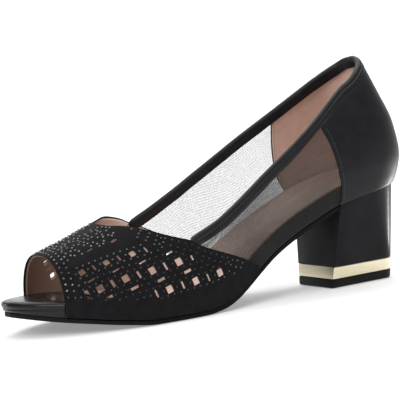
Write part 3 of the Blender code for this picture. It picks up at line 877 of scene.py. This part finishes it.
hole_places = []
cutter_places = []
for side in (-1, 1):
    for hole in HOLES if side > 0 else OUTER_HOLES:
        for place in hole.places:
            s, climbed = lattice(place, hole.row)
            if side > 0:
                s, climbed = s + INNER_MOVE[0], climbed + INNER_MOVE[1]
            hole_places.append((side, s, climbed))
            turn = Matrix.Rotation(-side * HOLE_TURN, 4, "Z")
            size = Matrix.Diagonal((hole.high, hole.wide, CUT_ABOVE + CUT_BELOW, 1.0))
            drop = Matrix.Translation((0, 0, (CUT_ABOVE - CUT_BELOW) / 2))
            cutter_places.append(skin_frame(side * s, climbed) @ turn @ drop @ size)

bpy.ops.object.select_all(action="DESELECT")
bpy.ops.mesh.primitive_cube_add(size=1.0)
cutters = scatter("hole_cutters", bpy.context.object, cutter_places)
for leather_piece in (vamp, vamp_lining):
    apply_modifier(leather_piece, "BOOLEAN", object=cutters, operation="DIFFERENCE", solver="EXACT")
    edit(
        leather_piece,
        (bpy.ops.mesh.quads_convert_to_tris, {}),
        (bpy.ops.mesh.dissolve_degenerate, {"threshold": SLIVER}),
    )
    smooth(leather_piece, 35)
bpy.data.objects.remove(cutters)
finish(vamp, suede, "vamp", "vamp")
finish(vamp_lining, vamp_lining_leather, "upper", "upper")
print(len(cutter_places), "holes")

# %% [markdown]
# ### Studs
#
# Small faceted stones fill the field between the holes on a quarter of the lattice, run in close rows along the
# toe and the throat, and lie scattered over the ridge. One stone is a short cone with eight sides, whose top is
# inset and lifted to a table. It is then copied to every place that is clear of a hole and of its neighbours.

# %% Studs
STONE_RADIUS, STONE_HEIGHT = 0.66, 0.55
CLEAR_OF_HOLE, CLEAR_OF_STONE = 2.5, 2.0
EDGE_CLEARANCE, FRONT_STONES, BARE_BACK = 2.2, 208.0, 8.0
LOW_IN_FRONT, LOW_BEHIND, BALL = 10.5, 12.5, 150.0

bpy.ops.object.select_all(action="DESELECT")
bpy.ops.mesh.primitive_cone_add(
    vertices=8, radius1=STONE_RADIUS, radius2=0.78 * STONE_RADIUS, depth=0.6 * STONE_HEIGHT
)
stone = bpy.context.object
for face in stone.data.polygons:
    face.select = face.normal.z > 0.9
bpy.ops.object.mode_set(mode="EDIT")
bpy.ops.mesh.inset(thickness=0.3 * STONE_RADIUS)
bpy.ops.transform.translate(value=(0, 0, 0.4 * STONE_HEIGHT))
bpy.ops.object.mode_set(mode="OBJECT")
stone.data.transform(Matrix.Translation((0, 0, 0.25 * STONE_HEIGHT)))

wanted = []
for row in (FRONT_STONES - 3.0, FRONT_STONES):
    for i in range(16):
        wanted.append((row, 11.0 + 3.3 * i))
chance = random.Random(4)
for k in range(8):
    for i in range(12):
        s = 203.0 - 2.5 * (i + 0.5 * (k % 2)) + chance.uniform(-1.0, 1.0)
        wanted.append((s, climb(s)[1][-1] - 0.3 - 2.5 * k - chance.uniform(0.0, 1.6)))
for k in range(3):
    for i in range(20):
        s = 166.0 - 3.2 * (i + 0.5 * (k % 2))
        wanted.append((s, climbed_at(-s, vamp_rise(-s)) - 3.0 - 3.5 * k))
for row in steps_between(-0.25, 2.25, 10):
    for place in steps_between(-1.0, 5.5, 26):
        wanted.append(lattice(place, row))

stone_places = []
for side in (-1, 1):
    taken = [on_form(side * s, climbed) for hole_side, s, climbed in hole_places if hole_side == side]
    hole_count = len(taken)
    for s, climbed in wanted:
        q = side * s
        low = LOW_IN_FRONT if s > BALL else LOW_BEHIND
        high = climbed_at(q, vamp_rise(q)) - (EDGE_CLEARANCE if s < THROAT else 0.0)
        if not (low < climbed <= high and VAMP_END + BARE_BACK < s < FRONT_STONES + 0.5):
            continue
        point = on_form(q, climbed)
        near_hole = any((point - p).length < CLEAR_OF_HOLE for p in taken[:hole_count])
        near_stone = any((point - p).length < CLEAR_OF_STONE for p in taken[hole_count:])
        if near_hole or near_stone:
            continue
        taken.append(point)
        stone_places.append(skin_frame(q, climbed))
studs = scatter("vamp_studs", stone, stone_places)
finish(studs, jet_stone, "vamp")
print(len(stone_places), "stones")

# %% [markdown]
# ## Counter
#
# The counter is one piece of smooth leather round the back of the heel, with beige leather inside. Its front edge
# leans forward as it rises, and a row of stitches holds it to the mesh.

# %% Counter and its lining
COUNTER_FRONT, COUNTER_LEAN_FADES = 45.2, 16.0


def binding_drop(q):
    """Upright width of the binding at a girth station."""
    reach = 2.0
    ahead, behind = [top_rise(at) + seat_at(at) for at in (q + reach, q - reach)]
    slope = (ahead - behind) / (2 * reach)
    return binding_width(q) * math.sqrt(1 + slope * slope)


def counter_station(q):
    """The station of a counter column as a function of height: columns in front lean forward."""
    forward = smooth_step((abs(q) - COUNTER_FRONT + COUNTER_LEAN_FADES) / COUNTER_LEAN_FADES)
    edge = inner_counter if q > 0 else outer_counter
    return lambda rise: q + math.copysign(forward * (edge(rise) - COUNTER_FRONT), q)


def counter_columns(outer_trim, inner_trim, top_of):
    columns = []
    for q in steps_between(outer_trim - COUNTER_FRONT, COUNTER_FRONT - inner_trim, 96):
        station = counter_station(q)
        top = top_of(station(top_of(q)))
        columns.append(column(station, SEAT_CLEARANCE, top, 40))
    return columns


counter = panel(
    "heel_counter_leather",
    [counter_columns(0.0, 0.0, lambda q: top_rise(q) - binding_drop(q) - 0.05)],
    0.0,
    PANEL,
    0.35,
)
counter_lining = panel(
    "counter_lining",
    [counter_columns(0.8, 0.1, lambda q: top_rise(q) - 0.8)],
    LINING_DEPTH,
    LINING,
    0.25,
)
finish(counter, satin_leather, "heel_counter", "heel_counter")
finish(counter_lining, lining_leather, "upper", "upper")

# %% [markdown]
# ## Mesh sides
#
# The sides are sheer net. Net could be a sheet with a see-through pattern, but real threads also hold up in a
# close view, so a fine grid is pulled over the last, trimmed under the binding, the vamp and the counter, and
# the Wireframe modifier turns its edges into threads. A real net is finer than a pixel of the picture. The threads
# here stand a little more than half a millimetre apart. Two nets behind each other would show false bands, so the
# inner one is turned.

# %% Mesh sides
NET_BACK, NET_FRONT, NET_CLIMB, NET_DEPTH = 39.0, 146.0, 62.0, 1.35
NET_PITCH = 0.62
NET_THREADS = {-1: 0.4, 1: 0.2}
NET_TURNS = {-1: 0.0, 1: math.radians(45)}
NET_OVERLAP = 3.2


def in_net(side, s, climbed):
    """True where the net shows, or lies just under a panel's edge."""
    if not (NET_BACK < s < NET_FRONT and SEAT_CLEARANCE < climbed < NET_CLIMB):
        return False
    q = side * s
    rise = on_form(q, climbed).z - seat_at(q)
    edge = abs(counter_station(side * COUNTER_FRONT)(rise)) - NET_OVERLAP
    under_vamp = s > VAMP_END and climbed < climbed_at(q, vamp_rise(q)) - NET_OVERLAP
    return s > edge and not under_vamp and climbed < climbed_at(q, top_rise(q)) - 1.0


def make_net(name, side):
    reach = math.hypot(NET_FRONT - NET_BACK, NET_CLIMB) / 2
    threads = steps_between(-reach, reach, round(2 * reach / NET_PITCH))
    cos, sin = math.cos(NET_TURNS[side]), math.sin(NET_TURNS[side])

    def crossing(u, v):
        """Girth station and climbed length where two threads cross."""
        return side * (NET_BACK + NET_FRONT) / 2 + u * cos - v * sin, NET_CLIMB / 2 + u * sin + v * cos

    net = grid_piece(name, [[on_form(*crossing(u, v)) for v in threads] for u in threads])
    crossings = [crossing(u, v) for v in threads for u in threads]
    keep = [in_net(side, abs(q), climbed) for q, climbed in crossings]
    only(net)
    bpy.ops.object.mode_set(mode="EDIT")
    bpy.ops.mesh.select_mode(type="VERT")
    bpy.ops.mesh.select_all(action="DESELECT")
    bpy.ops.object.mode_set(mode="OBJECT")
    for vertex in net.data.vertices:
        vertex.select = not keep[vertex.index]
    bpy.ops.object.mode_set(mode="EDIT")
    bpy.ops.mesh.delete(type="VERT")
    bpy.ops.mesh.select_all(action="SELECT")
    bpy.ops.mesh.delete_loose()
    bpy.ops.object.mode_set(mode="OBJECT")
    apply_modifier(net, "DISPLACE", strength=-NET_DEPTH * MM, mid_level=0.0, direction="NORMAL")
    apply_modifier(
        net, "WIREFRAME", thickness=NET_THREADS[side] * MM, use_replace=True, use_boundary=True, use_even_offset=False
    )
    smooth(net, 60)
    return net


for side, name in ((-1, "outer_mesh_side"), (1, "inner_mesh_side")):
    finish(make_net(name, side), black_thread, "upper", "upper")

# %% [markdown]
# ## Binding
#
# A strip of leather is folded over the collar's edge. Each section of it is a hairpin round the wall, and the
# binding is a body through those sections. A table says how far its face swells, from its lower edge (1) up to the
# crease under the fold. At both ends the maker pares the strip thin, so that it slips in under the vamp, and the
# section is squeezed in the same way.

# %% Binding
BINDING, FOLD_HALF = 0.9, 0.9
WALL_MIDDLE, TUCKED_DEPTH = 2.0, 1.35
BINDING_FACE = {
    1.0: 0.0,
    0.85: 0.2,
    0.7: 0.33,
    0.55: 0.35,
    0.43: 0.27,
    0.35: 0.12,
    0.29: -0.15,
    0.23: 0.0,
    0.1: 0.15,
}
TUCK, PARED, PARED_OVER = 6.0, 0.2, 2.0


def binding_stations():
    outer_end, inner_end = OUTER_VAMP_TOP + TUCK, INNER_VAMP_TOP + TUCK
    ahead = steps_between(-outer_end, -HEEL_CENTRE, 100)
    behind = steps_between(HEEL_CENTRE, inner_end, 100)
    return ahead + steps_between(-HEEL_CENTRE, HEEL_CENTRE, 64)[1:-1] + behind


def binding_section(q):
    """A hairpin round the wall: down the outside, over the crest and down the inside, and back."""
    collar = (inner_collar(q) if q > 0 else outer_collar(-q)) - seat_at(q)
    drop = binding_drop(math.copysign(min(abs(q), vamp_top(q) - 2.5), q))
    under_vamp = 3.2 if q > 0 else 5.0
    spine = []
    for share, swell in BINDING_FACE.items():
        rise = collar - drop * share
        tucked = smooth_step((abs(q) - vamp_top(q) + under_vamp * share) / PARED_OVER + 0.6)
        normal = form_normal(q, rise)
        depth = WALL_MIDDLE + (TUCKED_DEPTH - WALL_MIDDLE) * tucked
        spine.append((form_point(q, rise) - normal * depth, normal, 1 - (1 - PARED) * tucked, swell))
    crest, crest_normal, crest_size, _ = spine[-1]
    upward = (crest - spine[0][0]).normalized()

    def layer(half, swelling):
        points = [place + normal * size * (half + swelling * swell) for place, normal, size, swell in spine]
        for turn in steps_between(math.radians(25), math.radians(155), 6):
            arc = crest_normal * math.cos(turn) + upward * math.sin(turn)
            points.append(crest + crest_size * (half * arc + upward * FOLD_HALF / 2))
        return points + [place - normal * size * half for place, normal, size, _ in reversed(spine)]

    return layer(FOLD_HALF + BINDING, 1.0) + layer(FOLD_HALF, 0.0)[::-1]


binding = loft_piece("topline_binding_leather", [binding_section(q) for q in binding_stations()])
soften(binding, 0.25)
smooth(binding, 50)
finish(binding, binding_leather, "topline_binding", "topline_binding")

# %% [markdown]
# ## Insole and sock
#
# The insole board is wrapped in black leather. In the open toe it is as wide as the shoe and has a bead round its
# edge, over a groove and a band. Two tables say how far each level of that edge lies inside the bead: one by
# millimetres down from the top, one by the share of the band below. Behind, the insole lies inside the upper, and
# a beige sock of thin leather covers it.

# %% Insole and sock
INSIDE = LINING_DEPTH + LINING + 1.0
INNER_RIM = 1.6
TOE_BAND = {1.0: 1.4, 0.75: 1.0, 0.5: 0.72, 0.25: 0.56}
TOE_BEAD = {
    4.5: 0.52,
    4.2: 0.6,
    3.95: 0.66,
    3.7: 0.52,
    3.4: 0.28,
    3.0: 0.08,
    2.5: 0.0,
    2.0: 0.05,
    1.4: 0.3,
    0.8: 0.85,
    0.4: 1.6,
    0.15: 2.5,
    0.0: 3.6,
}
TIP_FLAT = 0.02
SOCK_FRONT, SOCK_INSET, SOCK_LIFT, SOCK, SOCK_CROWN = 184.0, 0.9, 0.12, 0.8, 0.5


def slab_ring(s, bottom, top, inset, shoulder, steps=7):
    """One section of a sole layer: flat under, with rounded upper edges."""
    outer = middle(s) - half_width(-1, s, inset)
    inner = middle(s) + half_width(1, s, inset)
    round_off = min(shoulder, 0.45 * (inner - outer), top - bottom - 0.5)
    ring = [Vector((-s, outer, bottom))]
    for turn in steps_between(0.0, math.pi / 2, steps):
        ring.append(
            Vector((-s, outer + round_off * (1 - math.cos(turn)), top - round_off * (1 - math.sin(turn))))
        )
    return ring + [Vector((p.x, inner + outer - p.y, p.z)) for p in reversed(ring)]


def beaded_ring(s, bottom, top):
    """One section of the insole in the open toe. Near the tip only the bead reaches so far."""
    reach = TOE_TIP - s - TIP_FLAT
    bead = max(TOE_BEAD)
    levels = [(bead + (top - bottom - bead) * share, inward) for share, inward in TOE_BAND.items()]
    levels += TOE_BEAD.items()
    fits = [drop for drop, inward in levels if inward <= reach]
    outer, inner = [], []
    for drop, inward in levels:
        height = top - min(max(drop, min(fits)), max(fits))
        inward = min(inward, reach)
        outer.append(Vector((-s, middle(s) - half_width(-1, s, inward), height)))
        inner.append(Vector((-s, middle(s) + half_width(1, s, inward), height)))
    return outer + inner[::-1]


def toe_stations(last, count):
    return [PEEP_TOE + (last - PEEP_TOE) * math.sin(math.pi / 2 * i / count) for i in range(1, count + 1)]


def heel_stations(inset, count):
    turns = steps_between(8, 90, count)[:-1]
    return [inset + (HEEL_CENTRE - inset) * (1 - math.cos(math.radians(turn))) for turn in turns]


rings = []
for s in heel_stations(INSIDE, 16) + steps_between(HEEL_CENTRE, PEEP_TOE, 90):
    rings.append(slab_ring(s, seat(s) + GAP, seat(s) + insole_thickness(s), INSIDE, INNER_RIM, 15))
for s in [PEEP_TOE + GAP] + toe_stations(INSOLE_END, 24):
    rings.append(beaded_ring(s, seat(s) + GAP, seat(s) + insole_thickness(s)))
insole = loft_piece("insole_rim", rings)
finish(insole, rim_leather, "insole", "insole")

sock_stations = heel_stations(INSIDE + SOCK_INSET, 20) + steps_between(HEEL_CENTRE, SOCK_FRONT, 90)
sock_columns = []
for share in steps_between(-1.0, 1.0, 28):
    line = []
    for s in sock_stations:
        width = half_width(1 if share > 0 else -1, s, INSIDE + SOCK_INSET)
        height = seat(s) + insole_thickness(s) + SOCK_LIFT + SOCK_CROWN * (1 - share * share)
        line.append(Vector((-s, middle(s) + share * width, height)))
    sock_columns.append(line)
sock = grid_piece("sock", sock_columns)
apply_modifier(sock, "SOLIDIFY", thickness=SOCK * MM, offset=1.0, use_even_offset=True)
soften(sock, 0.25)
smooth(sock)
finish(sock, sock_leather, "insole")

# %% [markdown]
# ## Outsole
#
# A thin rubber sole, set in a little under the insole's rim, from the front of the heel to the toe. It touches
# the floor only under the ball of the foot.

# %% Outsole
BREAST_TOP, OUTSOLE, OUTSOLE_INSET = 45.0, 2.2, 1.4
outsole_stations = steps_between(BREAST_TOP + 2 * GAP, PEEP_TOE, 96)
outsole_stations += toe_stations(TOE_TIP - OUTSOLE_INSET - 0.2, 20)
rings = [slab_ring(s, seat(s) - OUTSOLE, seat(s), OUTSOLE_INSET, 0.4, 3) for s in outsole_stations]
outsole = loft_piece("outsole_rubber", rings)
finish(outsole, sole_rubber, "outsole", "outsole")

# %% [markdown]
# ## Heel, band and lift
#
# The heel tapers from the seat to its foot. Its breast is flat, its sides close in towards the back, and its back
# corners are round. All three pieces are sections of that one tapering form, so the band lies flush.

# %% Heel
HEEL_FOOT_FRONT, HEEL_FOOT_BACK = 51.0, 7.5
HEEL_FOOT_FRONT_WIDTH, HEEL_FOOT_BACK_WIDTH = 35.0, 25.0
HEEL_CORNER, HEEL_FRONT_CORNER = 6.0, 1.0
HEEL_TOP_FRONT_WIDTH, HEEL_TOP_INSET = 50.0, 1.0
LIFT_HEIGHT, BAND_TOP, BAND_WALL = 4.6, 11.3, 1.2
SIDE_STEPS, CORNER_STEPS, BACK_STEPS, FRONT_STEPS = 8, 14, 3, 4
SEAT_SIDE, SEAT_CORNER, SEAT_BACK = 43.0, 28.0, 5.0


def heel_ring(share, z, inset=0.0):
    """Plan of the heel part of the way from its foot (0) to the seat (1)."""
    front, back = -HEEL_FOOT_FRONT + inset, -HEEL_FOOT_BACK - inset
    wide, narrow = HEEL_FOOT_FRONT_WIDTH / 2 - inset, HEEL_FOOT_BACK_WIDTH / 2 - inset
    corner, bevel = HEEL_CORNER - min(inset, HEEL_CORNER / 2), HEEL_FRONT_CORNER
    top_wide = HEEL_TOP_FRONT_WIDTH / 2
    half = []
    for turn in steps_between(0.0, math.pi / 2, FRONT_STEPS):
        across, along = bevel * (1 - math.sin(turn)), bevel * (1 - math.cos(turn))
        half.append((Vector((front + along, -wide + across)), Vector((-BREAST_TOP + along, -top_wide + across))))

    def seat_plan(q):
        foot, spine = foot_and_spine(q)
        return foot - (foot - spine).normalized() * HEEL_TOP_INSET

    side_start, side_end = Vector((front + bevel, -wide)), Vector((back - corner, -narrow))
    for t in steps_between(0.0, 1.0, SIDE_STEPS)[1:]:
        half.append((side_start.lerp(side_end, t), seat_plan(-SEAT_SIDE + (SEAT_SIDE - SEAT_CORNER) * t)))
    for t in steps_between(0.0, 1.0, CORNER_STEPS)[1:]:
        turn = math.pi / 2 * t
        round_point = Vector((back - corner + corner * math.sin(turn), -narrow + corner * (1 - math.cos(turn))))
        half.append((round_point, seat_plan(-SEAT_CORNER + (SEAT_CORNER - SEAT_BACK) * t)))
    end = half[-1][0]
    for t in steps_between(0.0, 1.0, BACK_STEPS)[1:]:
        half.append((end.lerp(Vector((back, 0.0)), t), seat_plan(-SEAT_BACK + SEAT_BACK * t)))
    plan = [foot.lerp(top, share) for foot, top in half]
    plan += [Vector((p.x, -p.y)) for p in reversed(plan[:-1])]
    return [Vector((p.x, p.y, z)) for p in plan]


def share_at(z):
    return z / seat(BREAST_TOP)


EDGE, HEEL_TUCK = 0.25, 0.25
band_share = share_at(BAND_TOP)
rings = [heel_ring(share_at(LIFT_HEIGHT), LIFT_HEIGHT + GAP, BAND_WALL + GAP)]
rings.append(heel_ring(band_share, BAND_TOP + GAP, BAND_WALL + GAP))
rings.append(heel_ring(band_share, BAND_TOP + GAP, EDGE))
rings.append(heel_ring(band_share, BAND_TOP + GAP + EDGE))
base = BAND_TOP + GAP
for t in steps_between(0.0, 1.0, 12)[1:]:
    ring = heel_ring(band_share + (1 - band_share) * t, 0.0)
    for p in ring:
        p.z = base + EDGE + (seat(max(-p.x, 0.0)) + HEEL_TUCK - base - EDGE) * t
    rings.append(ring)
heel_block = loft_piece("heel_block_lacquer", rings)
finish(heel_block, lacquer, "heel_block", "heel_block")

low, high = LIFT_HEIGHT + GAP, BAND_TOP
low_share = share_at(LIFT_HEIGHT)
rings = [
    heel_ring(low_share, low, BAND_WALL),
    heel_ring(low_share, low, EDGE),
    heel_ring(low_share, low + EDGE),
    heel_ring(band_share, high - EDGE),
    heel_ring(band_share, high, EDGE),
    heel_ring(band_share, high, BAND_WALL),
]
count = len(rings[0])
rings.append(rings[0])
band = grid_piece("heel_band_gold", [[ring[i % count] for ring in rings] for i in range(count + 1)])
edit(
    band,
    (bpy.ops.mesh.remove_doubles, {"threshold": SAME_PLACE}),
    (bpy.ops.mesh.normals_make_consistent, {"inside": False}),
)
smooth(band, 30)
finish(band, gold, "heel_band", "heel_band")

rings = [
    heel_ring(0.0, 0.0, 0.5),
    heel_ring(0.0, 0.5),
    heel_ring(low_share, LIFT_HEIGHT - EDGE),
    heel_ring(low_share, LIFT_HEIGHT, EDGE),
]
lift = loft_piece("top_lift_rubber", rings)
finish(lift, lift_rubber, "top_lift", "top_lift")

# %% [markdown]
# ## Stitches
#
# A stitch is a short length of thread that dives into the leather at both ends. One is modelled from a sphere,
# stretched, and copied along each seam: the counter's front edges outside and inside, and the lining round the
# open toe.

# %% Stitches
STITCH_PITCH, STITCH_LENGTH, STITCH_WIDTH = 2.0, 1.4, 0.36


def stitch():
    bpy.ops.object.select_all(action="DESELECT")
    bpy.ops.mesh.primitive_uv_sphere_add(segments=8, ring_count=5, radius=0.5)
    model = bpy.context.object
    model.data.transform(Matrix.Diagonal((STITCH_LENGTH, STITCH_WIDTH, 0.7 * STITCH_WIDTH, 1.0)))
    model.data.shade_smooth()
    return model


def seam_places(path, outward, sink):
    """Matrices along a seam. Path is a list of (q, climbed), outward 1 or -1 for the inside."""
    points = [on_form(q, climbed) for q, climbed in path]
    lengths = lengths_along(points)
    places = []
    wanted = STITCH_PITCH / 2
    for i in range(1, len(path)):
        while wanted <= lengths[i]:
            t = (wanted - lengths[i - 1]) / (lengths[i] - lengths[i - 1])
            q, climbed = [a + (b - a) * t for a, b in zip(path[i - 1], path[i])]
            skin = skin_frame(q, climbed, sink)
            along = (points[i] - points[i - 1]).normalized()
            normal = skin.to_3x3().col[2] * outward
            across = normal.cross(along).normalized()
            axes = Matrix((along, across, along.cross(across))).transposed().to_4x4()
            places.append(Matrix.Translation(skin.translation) @ axes)
            wanted += STITCH_PITCH
    return places


def counter_seam(side, behind, top):
    path = []
    for rise in steps_between(2.0, top, 60):
        q = counter_station(side * COUNTER_FRONT)(rise) - side * behind
        path.append((q, climbed_at(q, rise)))
    return path


outside_places = []
inside_places = []
for side in (-1, 1):
    front_top = counter_station(side * COUNTER_FRONT)(45.0)
    counter_top = top_rise(front_top) - binding_drop(front_top) - 2.0
    outside_places += seam_places(counter_seam(side, 1.8, counter_top), 1, -0.05)
    inside_places += seam_places(counter_seam(side, 0.9, counter_top + 2.0), -1, LINING_DEPTH + LINING + 0.05)
counter_stitches = scatter("counter_stitches", stitch(), outside_places)
finish(counter_stitches, seam_thread, "heel_counter")
inside_stitches = scatter("counter_lining_stitches", stitch(), inside_places)
finish(inside_stitches, seam_thread, "upper")

toe_places = []
for side in (-1, 1):
    q = side * (PEEP_TOE - 3.4)
    path = [(q, climbed) for climbed in steps_between(2.0, climb(q)[1][-1] - 1.0, 60)]
    toe_places += seam_places(path, -1, VAMP_INSIDE + 0.05)
toe_stitches = scatter("toe_lining_stitches", stitch(), toe_places)
finish(toe_stitches, lining_thread, "upper")

# %% [markdown]
# ## Stage and light
#
# The photograph is taken on a white paper sweep, which runs under the shoe and curves up behind it. A large box
# hangs over the shoe, a smaller one lights it from the front left, and one whitens the paper behind. The side of
# the room where the camera stands is dimmer, which keeps black leather black. A narrow strip lies on the floor to
# the right, outside the picture, and the heel's back corner mirrors it as a bright line.

# %% Stage
FLOOR, SWEEP_FROM, SWEEP_RADIUS, SWEEP_TOP = -0.3, 900.0, 500.0, 2600.0
SWEEP_LEFT, SWEEP_RIGHT = -1350.0, 1100.0
away = Vector((math.sin(YAW), math.cos(YAW), 0.0))
aside = Vector((math.cos(YAW), -math.sin(YAW), 0.0))
profile = [Vector((-2500.0, FLOOR)), Vector((SWEEP_FROM, FLOOR))]
for turn in steps_between(0.0, math.pi / 2, 12)[1:]:
    rise = SWEEP_RADIUS * (1 - math.cos(turn))
    profile.append(Vector((SWEEP_FROM + SWEEP_RADIUS * math.sin(turn), FLOOR + rise)))
profile.append(Vector((SWEEP_FROM + SWEEP_RADIUS, SWEEP_TOP)))
sweep_columns = []
for across in (SWEEP_LEFT, SWEEP_RIGHT):
    sweep_columns.append([away * p.x + aside * across + Vector((0, 0, p.y)) for p in profile])
floor = grid_piece("studio_sweep", sweep_columns)
smooth(floor)
paper, tree, shader = new_material(
    "lit_white_paper",
    Base_Color=colour("#F6F6F6"),
    Roughness=0.9,
    Emission_Color=(1.0, 1.0, 1.0, 1.0),
    Emission_Strength=0.27,
)
floor.data.materials.append(paper)

world = bpy.data.worlds.new("studio")
bpy.context.scene.world = world
world.use_nodes = True
world.node_tree.nodes["Background"].inputs["Color"].default_value = (1.0, 1.0, 1.0, 1.0)
world.node_tree.nodes["Background"].inputs["Strength"].default_value = 0.35


def softbox(name, place, aim, width, height, watts):
    """An area light at a place, turned to a point, both in metres."""
    bpy.ops.object.select_all(action="DESELECT")
    bpy.ops.object.light_add(type="AREA", location=place)
    lamp = bpy.context.object
    lamp.name = name
    lamp.data.shape = "RECTANGLE"
    lamp.data.size, lamp.data.size_y = width, height
    lamp.data.energy = watts
    lamp.rotation_euler = (Vector(aim) - Vector(place)).to_track_quat("-Z", "Y").to_euler()
    return lamp


softbox("overhead", (0.1, 0.1, 1.5), (0, 0, 0), 2.2, 1.8, 13.0)
softbox("front_left", (-0.8, -0.7, 0.7), (0, 0, 0.05), 0.6, 0.6, 6.0)
softbox("paper", away * 0.7 + Vector((0, 0, 1.7)), away * 1.4 + Vector((0, 0, 0.5)), 2.0, 0.8, 10.0)
strip = softbox("strip", (0.267, 0.018, 0.002), (0.267, 0.018, 1.0), 0.18, 0.014, 0.3)
strip.rotation_euler = (math.pi, 0.0, math.radians(13))
bpy.context.scene.view_settings.view_transform = "Standard"
